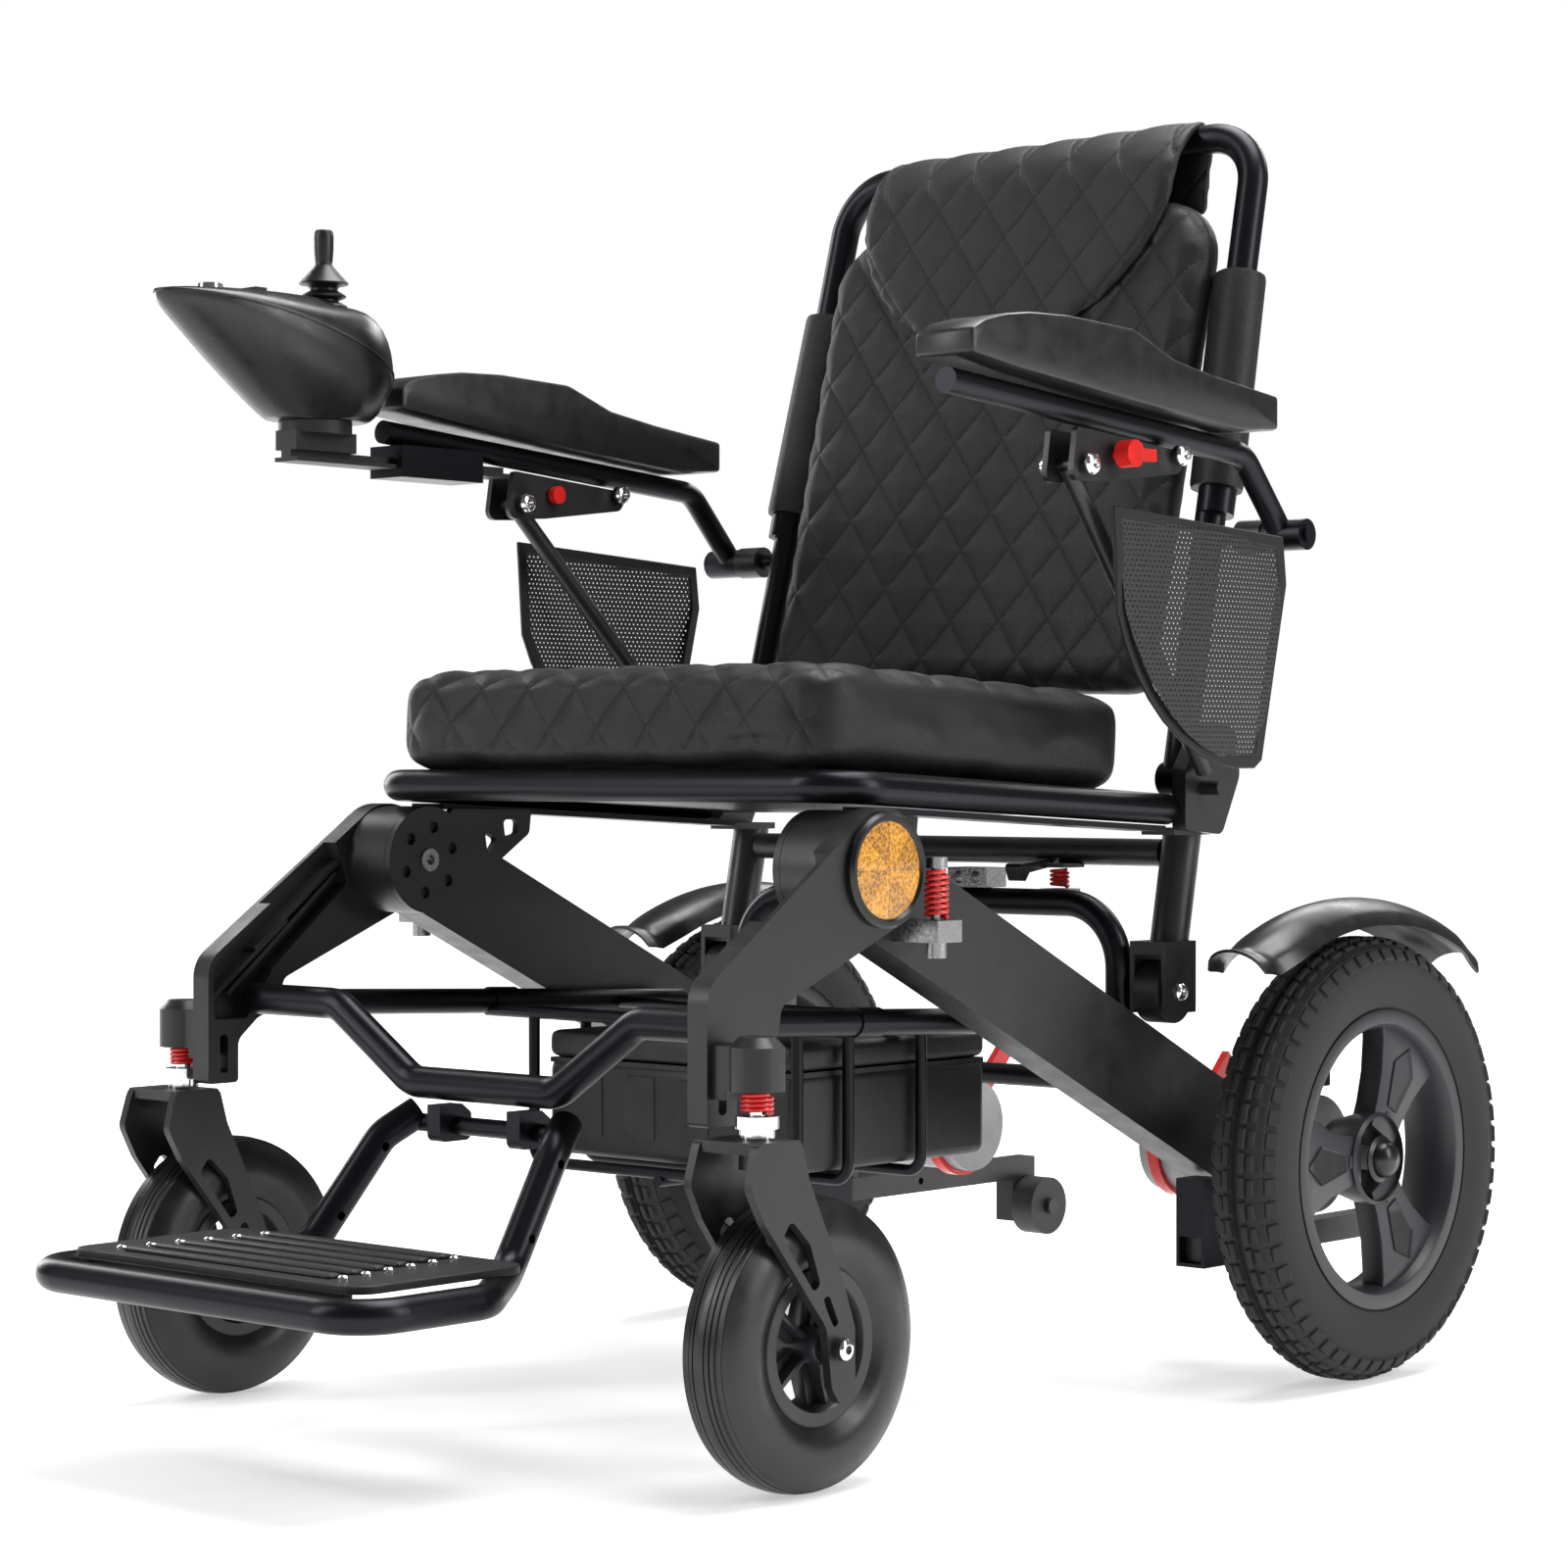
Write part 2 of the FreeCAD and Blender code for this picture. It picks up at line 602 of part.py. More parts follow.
def drive_wheel(name, side):
    """Pneumatic tyre on a three-spoke rim."""
    x = side * dim("drive_track")
    centre = (x, 0, AXLE_Z)
    half, bead = dim("drive_width") / 2, dim("drive_bead")
    node(f"rear_tyre_{name}", turned(profile_of_tyre(half, bead, dim("drive_radius")), centre))
    band = turned([(-20, bead, 0), (-20, bead - 13, 3), (20, bead - 13, 3), (20, bead, 0)], centre)
    hub_in, hub_out = (-18, 22) if side > 0 else (-22, 18)
    hub = turned([(hub_in, 0.01, 0), (hub_in, 30, 4), (hub_out, 30, 8), (hub_out, 0.01, 0)], centre)
    low, high = span(side, dim("drive_track") - 4, dim("drive_track") + SPOKE_FACE)
    spokes = []
    for step in range(3):
        spoke = box((low, -SPOKE_WIDTH / 2, AXLE_Z + 20), (high, SPOKE_WIDTH / 2, AXLE_Z + bead - 9),
                    120 * step + 90, Vector(0, 0, AXLE_Z))
        spokes.append(spoke)
    shaft = ring_x(side, 240, 300.3, 0, AXLE_Z, "dims.axle_shaft_radius + dims.running_gap")
    node(f"rear_rim_{name}", cut(fuse(band, hub, *spokes), shaft))


for name, side in SIDES:
    drive_wheel(name, side)

# ---------------------------------------------------------------- battery carrier

BRACE_X = 170
BATTERY_FRONT, BATTERY_BASE = -408, 164
CAGE_X, CAGE_BASE = 123, 158


def brace(side):
    """A tube from the front leg back, along the inside of the rear arm."""
    x = side * BRACE_X
    front, joint, rear = (x, -566, 274.5), (x, -412, 268), (x, -215, 259.5)
    sleeve = rod(joint, (x, -388, 267), "dims.brace_tube_radius + 1.2")
    return [fuse(rod(front, rear, "dims.brace_tube_radius"), sleeve)]


cage = []
for y in (BATTERY_FRONT - 5, BATTERY_FRONT + 46, BATTERY_FRONT + 122):
    cage.append(tube([(-CAGE_X, y, 262), (-CAGE_X, y, CAGE_BASE), (CAGE_X, y, CAGE_BASE), (CAGE_X, y, 262)],
                     12, "dims.wire_radius", hollow=False))
rails = [rod((-BRACE_X, y, 262), (BRACE_X, y, 262), 4.5) for y in (BATTERY_FRONT - 5, BATTERY_FRONT + 122)]
keel = rod((0, BATTERY_FRONT - 9, CAGE_BASE - 5), (0, BATTERY_FRONT + 190, CAGE_BASE - 5), 4)
node("battery_cradle", fuse(*both(brace), *rails, *cage, keel))

half_battery = dim("battery_width") / 2
case = bind(box((-half_battery, BATTERY_FRONT, BATTERY_BASE), (half_battery, -205, 250)),
            Length="dims.battery_width", Width="dims.battery_length", Height="dims.battery_height")
node("battery_case", case)

# ---------------------------------------------------------------- seat

RAIL_X, RAIL_FRONT, RAIL_REAR = 214.4, (-475, 421), (-129, 404)
seat_loop = tube([(RAIL_X, *RAIL_REAR), (RAIL_X, *RAIL_FRONT), (-RAIL_X, *RAIL_FRONT), (-RAIL_X, *RAIL_REAR)],
                 32, "dims.seat_tube_radius")
seat_rise = -math.degrees(math.atan2(RAIL_FRONT[1] - RAIL_REAR[1], RAIL_REAR[0] - RAIL_FRONT[0]))
panel = box((-203, -462, 416), (203, -131, 420), seat_rise, Vector(0, -475, 421))
rail_strips = [box((low, -440, 405.4), (high, -135, 409.4), seat_rise, Vector(0, -475, 421))
               for low, high in (span(side, 186, 219) for _, side in SIDES)]
node("seat_frame", seat_loop, panel, *rail_strips)

HINGE_PLATE = [(-440, 404, 3), (-450, 375, 0), (-445, 345, 0), (-410, 356, 10), (-364, 386, 6), (-362, 403, 3)]
HINGE_DISC_BOLTS = 6
BLOCK_LINE = [(-128, 390, 4), (-84, 386, 8), (-62, 428, 14), (-70, 464, 14), (-104, 466, 16), (-128, 432, 12)]


def seat_bracket(side):
    """Front hinge disc with its plate, rear joint block, post and roller fork of one side."""
    near, _ = span(side, 178.2, 183.6)
    web = plate(HINGE_PLATE, 5.4, near, windows=[[(-405, 370, 2), (-408, 388, 2), (-396, 382, 2)],
                                                 [(-388, 383, 3), (-390, 396, 3), (-375, 396, 3), (-376, 386, 3)]])
    disc = ring_x(side, 178.2, 183.6, PIVOT.y, PIVOT.z, "dims.drum_radius")
    drills = [ring_x(side, 170, 190, PIVOT.y, PIVOT.z, "dims.pin_radius + dims.running_gap")]
    for step in range(HINGE_DISC_BOLTS):
        angle = math.radians(360 / HINGE_DISC_BOLTS * step + 20)
        y, z = PIVOT.y + 23 * math.cos(angle), PIVOT.z + 23 * math.sin(angle)
        drills.append(ring_x(side, 170, 181.5, y, z, 4.2))
    hinge = cut(fuse(web, disc), *drills)
    near, far = span(side, 218.6, 230)
    block = plate(BLOCK_LINE, far - near, near)
    shelf_low, shelf_high = span(side, 192, 220)
    shelf = box((shelf_low, -127.6, 386), (shelf_high, -84, 391))
    pin = ring_x(side, 194.5, 220, BACK_HINGE.y, BACK_HINGE.z, 5)
    peg = ring_x(side, 229, 246, -108, 419, 5)
    x = side * 205
    post = rod((x, -113, 308), (x, -97, 387), "dims.post_radius")
    low, high = span(side, 189.6, 220.4)
    yoke = box((low, -138, 262), (high, -102, 312))
    slot_low, slot_high = span(side, 193.6, 216.4)
    slot = box((slot_low, -150, 250), (slot_high, -90, 303))
    return [hinge, fuse(block, shelf, pin, peg, post, cut(yoke, slot),
                        ring_x(side, 190, 220, -120, 276.6, 4))]


post_tube = rod((-192, -100, 373), (192, -100, 373), 9.75)
ledges = [box((side * REAR_SPRING_X - 10, -126, 361.6), (side * REAR_SPRING_X + 10, -101, 364.6))
          for _, side in SIDES]
catch = plate([(-140, 350, 2), (-146, 364, 3), (-106, 368, 0), (-106, 362, 0), (-134, 358, 2)], 14, 84)
node("seat_brackets", *both(seat_bracket), post_tube, *ledges, catch)

SEAT_CUSHION = [(-208, -488, 34), (208, -488, 34), (210, -146, 26), (-210, -146, 26)]
CUSHION_RISE = 3.0
cushion_blank = slab(SEAT_CUSHION, 66, 430)
cushion_blank.Placement = Placement(Vector(), Rotation(X_AXIS, -CUSHION_RISE), Vector(0, -475, 421)).multiply(
    Placement(Vector(0, 0, 432.5), Rotation()))
node("seat_cushion", cushion_blank)

for name, side in SIDES:
    low, high = span(side, 195, 215)
    roller = rod((low, -120, 276.6), (high, -120, 276.6), "dims.roller_radius")
    hole = rod((low - 5, -120, 276.6), (high + 5, -120, 276.6), "4 + dims.running_gap")
    node(f"post_roller_{name}", cut(roller, hole))

# ---------------------------------------------------------------- backrest

TOP_BAR, COLLAR_Z = 896.0, 627.0
back_side = [(206, BACK_HINGE.y, BACK_HINGE.z), (206, back_line(COLLAR_Z), COLLAR_Z),
             (194.5, back_line(TOP_BAR), TOP_BAR)]
back_points = [back_side[0], back_side[2], (-194.5, back_line(TOP_BAR), TOP_BAR), (-206, *back_side[0][1:])]
back_loop = tube(back_points, 42, "dims.back_tube_radius", hollow=False)


def back_fittings(side):
    """Hinge eye, height collar and armrest shaft on one back tube."""
    eye = ring_x(side, 195.2, 217.4, BACK_HINGE.y, BACK_HINGE.z, 12)
    collar = rod((side * 205, back_line(613), 613), (side * 204.5, back_line(640), 640), 13.5)
    shaft = ring_x(side, 208, 286, ARMREST_PIVOT.y, ARMREST_PIVOT.z, 6)
    return [eye, collar, shaft]


eye_bores = [ring_x(side, 190, 230, BACK_HINGE.y, BACK_HINGE.z, "5 + dims.running_gap") for _, side in SIDES]
node("back_frame", cut(fuse(back_loop, *both(back_fittings)), *eye_bores))

LEAN = -math.degrees(math.atan(dim("back_lean")))


def lean_back(half_width, front, rear, bottom, top, low_corner, top_corner):
    """Places an upright slab of a cushion in the leaning plane of the back tubes."""
    body, _, pad = sketched("PartDesign::Pad", "XZ_Plane",
                            [(-half_width, bottom, low_corner), (half_width, bottom, low_corner),
                             (half_width, top, top_corner), (-half_width, top, top_corner)])
    pad.Length = rear - front
    body.Placement = Placement(Vector(), Rotation(X_AXIS, LEAN), Vector(*BACK_HINGE)).multiply(
        Placement(Vector(0, BACK_HINGE.y + rear, 0), Rotation()))
    return body


back_cushion = lean_back(183, -28, 6, 480, 862, 20, 48)
node("back_cushion", back_cushion)
PAD_HALF = 151
flap = lean_back(PAD_HALF, -42, -28.5, 744, 904, 75, 8)
slope = lean_back(PAD_HALF, -36, -12, 890, 928, 4, 4)
crown = lean_back(PAD_HALF, -20, 21, 922.5, 930, 3, 3)
tail = lean_back(PAD_HALF, 13, 21, 866, 930, 3, 3)
bar_room = rod((-180, back_line(TOP_BAR), TOP_BAR), (180, back_line(TOP_BAR), TOP_BAR), 11.6)
node("head_pad", cut(fuse(flap, slope, crown, tail), bar_room))

# ---------------------------------------------------------------- armrests

TUBE_FRONT, TUBE_REAR = (-430, 675.4), (-106, 649.6)
BOLT_FRONT, BOLT_REAR, LOCK = (-301.8, 630), (-201, 642), (-270, 638)
PAD_NOSE = [(-432, 690.5, 8), (-432, 712, 12), (-376, 723.5, 60)]
PAD_TAIL = [(-330, 722, 60), (-216, 704, 60), (-96, 689, 6), (-96, 665, 5), (-140, 661.5, 20)]
BRACKET = [(-317, 618, 7), (-311, 654, 3), (-198, 645, 4), (-190, 642, 5), (-198, 630, 8), (-278, 620, 8)]
POCKET = [(-266, 606, 4), (-84, 594, 4), (-78, 560, 20), (-112, 434, 12), (-150, 434, 30), (-206, 470, 60),
          (-286, 548, 26)]

RAIL_Z = 648


def rail_clamp(x):
    """The block that grips the joystick's rail under the armrest tube."""
    block = box((x - 17, -430, RAIL_Z - 6), (x + 17, -350, RAIL_Z + 17))
    strip_room = box((x - 12.3, -440, RAIL_Z - 0.3), (x + 12.3, -340, RAIL_Z + 3.3))
    web_room = box((x - 5.3, -440, RAIL_Z), (x + 5.3, -340, RAIL_Z + 8.3))
    return cut(block, strip_room, web_room)


def armrest(name, side):
    """Hub, tube, pad, lock bracket with strut, side pocket and lock of one armrest."""
    hub = cut(ring_x(side, 228, 250, ARMREST_PIVOT.y, ARMREST_PIVOT.z, 12),
              ring_x(side, 220, 260, ARMREST_PIVOT.y, ARMREST_PIVOT.z, "6 + dims.running_gap"))
    node(f"arm_hub_{name}", hub)

    x = side * dim("armrest_track")
    bar = tube([(x, *TUBE_FRONT), (x, *TUBE_REAR), (x, ARMREST_PIVOT.y, ARMREST_PIVOT.z)], 26,
               "dims.arm_tube_radius", hollow=False)
    barrel = ring_x(side, 251, 283, ARMREST_PIVOT.y, ARMREST_PIVOT.z, 11)
    bore = ring_x(side, 220, 300, ARMREST_PIVOT.y, ARMREST_PIVOT.z, "6 + dims.running_gap")
    clamp = [rail_clamp(-dim("joystick_track"))] if name == "right" else []
    node(f"arm_tube_{name}", cut(fuse(bar, barrel, *clamp), bore))

    low, _ = span(side, dim("armrest_track") - dim("pad_width") / 2, dim("armrest_track") + 24)
    node(f"arm_pad_{name}", plate(PAD_NOSE + PAD_TAIL, "dims.pad_width", low))

    near_low, _ = span(side, 249, 253.4)
    far_low, _ = span(side, 270.6, 275)
    bores = [(*LOCK, "3 + dims.running_gap")]
    inner = plate(BRACKET, 4.4, near_low, bores=bores)
    outer = plate(BRACKET, 4.4, far_low, bores=bores)
    bolts = [ring_x(side, 245, 279, *bolt, 4) for bolt in (BOLT_FRONT, BOLT_REAR)]
    bolts += [ring_x(side, start, start + 4, *bolt, 6.5) for bolt in (BOLT_FRONT, BOLT_REAR)
              for start in (245, 275)]
    strut = rod((side * 259, *BOLT_FRONT), (side * 238, -117, 431.5), "dims.strut_radius")
    node(f"arm_bracket_{name}", fuse(inner, outer, *bolts, strut))

    low, _ = span(side, 276, 282)
    node(f"mesh_pocket_{name}", plate(POCKET, 4, low + 1))

    shank = ring_x(side, 242, 292, *LOCK, 3)
    button = ring_x(side, 242, 248, *LOCK, 6.5)
    knob = ring_x(side, 280.5, 292, *LOCK, 9)
    low, high = span(side, 283, 291)
    lever = box((low, LOCK[0], LOCK[1] - 4), (high, LOCK[0] + 24, LOCK[1] + 4))
    node(f"arm_lock_{name}", fuse(shank, button, knob, lever))


armrest("left", 1.0)
armrest("right", -1.0)

# ---------------------------------------------------------------- joystick

STICK_X, STICK_Y = -dim("joystick_track"), -489
SEAM = [(-637, 760), (-520, 741), (-438, 706)]
PLAN = [(-8, -637, 7), (8, -637, 7), (40, -560, 60), (44, -500, 40), (36, -438, 14), (-36, -438, 14),
        (-44, -500, 40), (-40, -560, 60)]
strip = box((STICK_X - 12, -524, RAIL_Z), (STICK_X + 12, -318, RAIL_Z + 3))
web = box((STICK_X - 5, -524, RAIL_Z + 3), (STICK_X + 5, -318, RAIL_Z + 8))
neck = box((STICK_X - 11, -524, RAIL_Z + 8), (STICK_X + 11, -468, 670))
flange = rod((STICK_X, -497, 668), (STICK_X, -497, 677), 26)
node("joystick_rail", fuse(strip, web, neck, flange))


def boat(profile):
    """A side profile limited to the housing's pointed plan."""
    side_view = plate(profile, 90, STICK_X - 45)
    plan_view = slab(PLAN, 140, 660)
    plan_view.Placement = Placement(Vector(STICK_X, 0, 660), Rotation())
    return common(side_view, plan_view)


hull = boat([(*SEAM[0], 2), (-620, 744, 10), (-538, 677, 20), (-455, 677, 14), (-438, 690, 6), (*SEAM[2], 0),
             (*SEAM[1], 60)])
hollow_hull = box((STICK_X - 26, -560, 700), (STICK_X + 26, -462, 760))
node("joystick_base", cut(hull, hollow_hull))
lid = boat([(*SEAM[0], 0), (*SEAM[1], 60), (*SEAM[2], 0), (-438, 716, 6), (-462, 757, 14), (-560, 764, 60),
            (-634, 764, 2)])
STICK_PIVOT_Z = 748
well = rod((STICK_X, STICK_Y, STICK_PIVOT_Z), (STICK_X, STICK_Y, 775), 20)
shaft_hole = rod((STICK_X, STICK_Y, 700), (STICK_X, STICK_Y, 775), 12)
BUTTON_Y, ROCKER_Y = -592, -558
button_holes = [rod((STICK_X, BUTTON_Y, 757), (STICK_X, BUTTON_Y, 775), 6.2),
                box((STICK_X - 15, ROCKER_Y - 5.4, 754), (STICK_X + 15, ROCKER_Y + 5.4, 775))]
node("joystick_cover", cut(lid, well, shaft_hole, *button_holes))

rings = [cone((STICK_X, STICK_Y, 756.5 + 7 * n), (STICK_X, STICK_Y, 763.5 + 7 * n), 15 - 2 * n, 11 - 2 * n)
         for n in range(3)]
gimbal = cut(rod((STICK_X, STICK_Y, STICK_PIVOT_Z - 4), (STICK_X, STICK_Y, STICK_PIVOT_Z + 4), 11),
             rod((STICK_X, STICK_Y, STICK_PIVOT_Z - 9), (STICK_X, STICK_Y, STICK_PIVOT_Z + 9), 7.5))
node("joystick_gimbal", gimbal)
skirt = cone((STICK_X, STICK_Y, 778), (STICK_X, STICK_Y, 788), 15, 6)
shank = rod((STICK_X, STICK_Y, STICK_PIVOT_Z - 6), (STICK_X, STICK_Y, 790), 4)
knob = cone((STICK_X, STICK_Y, 787), (STICK_X, STICK_Y, 814), 6.5, 10)
node("joystick_stick", fuse(*rings, skirt, shank, knob))
node("power_button", rod((STICK_X, BUTTON_Y, 758.6), (STICK_X, BUTTON_Y, 766), 5.8))
node("speed_rocker", box((STICK_X - 14, ROCKER_Y - 5, 759), (STICK_X + 14, ROCKER_Y + 5, 765.5)))

# ---------------------------------------------------------------- anti-tip arms, motor levers


def antitip(name, side):
    """A square arm that slides in its socket, and the roller at its end."""
    middle, half = dim("antitip_track"), dim("antitip_tube") / 2
    low, high = span(side, middle - half, middle + half)
    bar = box((low, -92, SOCKET_Z - half), (high, 232, SOCKET_Z + half))
    drop = box((low, 232, 50), (high, 262, SOCKET_Z + half))
    hole = ring_x(side, middle - 20, middle + 20, 110, SOCKET_Z, 3)
    axle = ring_x(side, 181, middle - half, 252, 63, 4)
    cap = ring_x(side, 177, 181, 252, 63, 6.5)
    node(f"antitip_arm_{name}", fuse(cut(fuse(bar, drop), hole), axle, cap))
    tread = ring_x(side, 182, 204, 252, 63, "dims.antitip_radius")
    bore = ring_x(side, 170, 215, 252, 63, "4 + dims.running_gap")
    node(f"antitip_wheel_{name}", cut(tread, bore))


def clutch(name, side):
    """The lever that frees a motor from its wheel."""
    near = motor_end(side) + 10
    collar = cut(ring_x(side, near, near + 9, 0, AXLE_Z, 39),
                 ring_x(side, near - 5, near + 15, 0, AXLE_Z, "dims.motor_radius + 0.3"))
    low, high = span(side, near + 1.5, near + 7.5)
    blade = box((low, -7, AXLE_Z + 37), (high, 7, AXLE_Z + 84), -45, Vector(0, 0, AXLE_Z))
    node(f"clutch_lever_{name}", fuse(collar, blade))


for name, side in SIDES:
    antitip(name, side)
for name, side in SIDES:
    clutch(name, side)

# ---------------------------------------------------------------- check and write

doc.recompute()
for item in doc.Objects:
    if "Invalid" in item.State or "Error" in item.State:
        raise RuntimeError(f"{item.Name} ({item.Label}) failed: {item.State}")
for item in nodes:
    if item.Shape.isNull() or not item.Shape.isValid() or not item.Shape.Solids:
        raise RuntimeError(f"{item.Label} has no valid solid")

os.makedirs("parts", exist_ok=True)
whole = FreeCAD.BoundBox()
for item in nodes:
    item.Shape.exportStep(os.path.join("parts", f"{item.Label}.step"))
    bounds = item.Shape.optimalBoundingBox(False)
    whole.add(bounds)
    print(f"{item.Label:24s} {len(item.Shape.Solids):2d} solids {item.Shape.Volume / 1000:9.1f} cm3  "
          f"x {bounds.XMin:7.1f} {bounds.XMax:7.1f}  y {bounds.YMin:7.1f} {bounds.YMax:7.1f}  "
          f"z {bounds.ZMin:6.1f} {bounds.ZMax:6.1f}")
print(f"{len(nodes)} sub-parts; chair x {whole.XMin:.1f} {whole.XMax:.1f}  y {whole.YMin:.1f} {whole.YMax:.1f}  "
      f"z {whole.ZMin:.2f} {whole.ZMax:.1f}")
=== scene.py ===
"""Looks of a folding power wheelchair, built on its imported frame.

Metres throughout. +Z is up, -Y is the chair's front and +X is its left.
"""

import json
import logging
import math
from dataclasses import dataclass
from enum import Enum
from typing import Callable, Optional, Sequence

import bmesh
import bpy
from mathutils import Matrix, Vector


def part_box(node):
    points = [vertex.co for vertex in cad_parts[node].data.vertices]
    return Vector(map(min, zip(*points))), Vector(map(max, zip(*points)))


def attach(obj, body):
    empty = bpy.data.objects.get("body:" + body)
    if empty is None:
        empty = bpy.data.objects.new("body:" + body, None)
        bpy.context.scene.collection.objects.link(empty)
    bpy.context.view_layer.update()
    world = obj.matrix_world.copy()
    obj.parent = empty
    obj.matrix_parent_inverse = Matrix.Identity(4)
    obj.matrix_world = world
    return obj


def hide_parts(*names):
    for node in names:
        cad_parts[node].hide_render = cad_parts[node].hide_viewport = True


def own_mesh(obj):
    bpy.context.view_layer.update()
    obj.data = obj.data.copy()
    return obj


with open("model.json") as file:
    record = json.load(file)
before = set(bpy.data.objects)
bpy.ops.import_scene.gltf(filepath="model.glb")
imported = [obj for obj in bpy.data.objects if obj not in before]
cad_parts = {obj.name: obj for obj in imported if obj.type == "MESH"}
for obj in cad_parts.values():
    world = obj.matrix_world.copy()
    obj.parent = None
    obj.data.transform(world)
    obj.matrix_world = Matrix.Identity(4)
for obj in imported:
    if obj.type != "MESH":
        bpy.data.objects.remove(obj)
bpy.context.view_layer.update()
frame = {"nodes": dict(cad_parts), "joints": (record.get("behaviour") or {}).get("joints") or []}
LOG = logging.getLogger("wheelchair")
Outline = Sequence[tuple[float, float]]


class Side(Enum):
    """The chair's two sides; the value is the sign of X."""

    LEFT = 1
    RIGHT = -1

    @property
    def word(self) -> str:
        """The side's name as the frame's nodes and bodies spell it."""
        return self.name.lower()


def both(stem: str) -> tuple[str, str]:
    """The names of a left and a right node."""
    return f"{stem}_left", f"{stem}_right"


def middle(node: str) -> Vector:
    """Centre of a frame node's box."""
    low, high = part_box(node)
    return (low + high) / 2


def joint_at(name: str) -> Vector:
    """Where a joint of the frame is."""
    found = next(joint for joint in frame["joints"] if joint["name"] == name)
    return Vector(found["pos_m"])


def smooth_step(low: float, high: float, value: float) -> float:
    """Rises smoothly from 0 at low to 1 at high."""
    share = min(1.0, max(0.0, (value - low) / (high - low)))
    return share * share * (3 - 2 * share)


# ---------------------------------------------------------------- finishes


class Shader:
    """A principled surface and the texture nodes that feed it."""

    def __init__(self, name: str, **sockets: float) -> None:
        """Starts a material.

        Args:
            name: the material's name.
            **sockets: plain values for the surface, with underscores for spaces.
        """
        self.material = bpy.data.materials.new(name)
        self.material.use_nodes = True
        tree = self.material.node_tree
        self.nodes, self.links = tree.nodes, tree.links
        self.surface = self.nodes["Principled BSDF"]
        for socket, value in sockets.items():
            self.surface.inputs[socket.replace("_", " ")].default_value = value
        self.place = self.nodes.new("ShaderNodeTexCoord").outputs["Object"]

    def node(self, kind: str, **inputs: object) -> bpy.types.Node:
        """Adds a node; inputs are values or sockets, keyed by socket name or i0, i1, i2."""
        made = self.nodes.new(kind)
        for key, value in inputs.items():
            numbered = key[0] == "i" and key[1:].isdigit()
            socket = made.inputs[int(key[1:])] if numbered else made.inputs[key.replace("_", " ")]
            if isinstance(value, bpy.types.NodeSocket):
                self.links.new(value, socket)
            else:
                socket.default_value = value
        return made

    def calc(self, operation: str, first: object, second: object = 0.0,
             third: object = 0.0) -> bpy.types.NodeSocket:
        """The result of one maths operation."""
        made = self.node("ShaderNodeMath", i0=first, i1=second, i2=third)
        made.operation = operation
        return made.outputs[0]

    def noise(self, scale: float, detail: float = 4.0,
              vector: Optional[bpy.types.NodeSocket] = None) -> bpy.types.NodeSocket:
        """A cloudy pattern from 0 to 1."""
        made = self.node("ShaderNodeTexNoise", Vector=vector or self.place, Scale=scale, Detail=detail)
        return made.outputs["Fac"]

    def cells(self, scale: float, vector: Optional[bpy.types.NodeSocket] = None) -> bpy.types.NodeSocket:
        """Distance to the nearest of scattered points, a pebbled pattern."""
        made = self.node("ShaderNodeTexVoronoi", Vector=vector or self.place, Scale=scale)
        return made.outputs["Distance"]

    def spread(self, value: bpy.types.NodeSocket, low: float, high: float,
               start: float = 0.3, end: float = 0.7) -> bpy.types.NodeSocket:
        """Maps a pattern's middle range onto low to high."""
        made = self.node("ShaderNodeMapRange", Value=value, From_Min=start, From_Max=end,
                         To_Min=low, To_Max=high)
        return made.outputs[0]

    def tint(self, factor: object, dark: Sequence[float], light: Sequence[float]) -> bpy.types.NodeSocket:
        """A colour between two others."""
        made = self.nodes.new("ShaderNodeMix")
        made.data_type = "RGBA"
        if isinstance(factor, bpy.types.NodeSocket):
            self.links.new(factor, made.inputs[0])
        else:
            made.inputs[0].default_value = factor
        for socket, colour in ((made.inputs[6], dark), (made.inputs[7], light)):
            if isinstance(colour, bpy.types.NodeSocket):
                self.links.new(colour, socket)
            else:
                socket.default_value = (*colour, 1.0)
        return made.outputs[2]

    def feed(self, socket: str, value: bpy.types.NodeSocket) -> None:
        """Connects a pattern to the surface."""
        self.links.new(value, self.surface.inputs[socket])

    def emboss(self, *layers: tuple[bpy.types.NodeSocket, float, float]) -> None:
        """Stacks bumps of (height, strength, depth) onto the surface's normal."""
        normal = None
        for height, strength, depth in layers:
            bump = self.node("ShaderNodeBump", Height=height, Strength=strength, Distance=depth)
            if normal is not None:
                self.links.new(normal, bump.inputs["Normal"])
            normal = bump.outputs["Normal"]
        self.feed("Normal", normal)


@dataclass(frozen=True)
class Finish:
    """A named finish; each kind fills in its own surface."""

    name: str
    shade: tuple[float, float, float]

    def scaled(self, factor: float) -> tuple[float, float, float]:
        """The finish's colour, darker or lighter."""
        red, green, blue = self.shade
        return (min(1.0, red * factor), min(1.0, green * factor), min(1.0, blue * factor))

    def fill(self) -> Shader:
        """Builds the surface."""
        raise NotImplementedError

    @property
    def material(self) -> bpy.types.Material:
        """The finish's material, made on first use."""
        made = bpy.data.materials.get(self.name)
        return made or self.fill().material


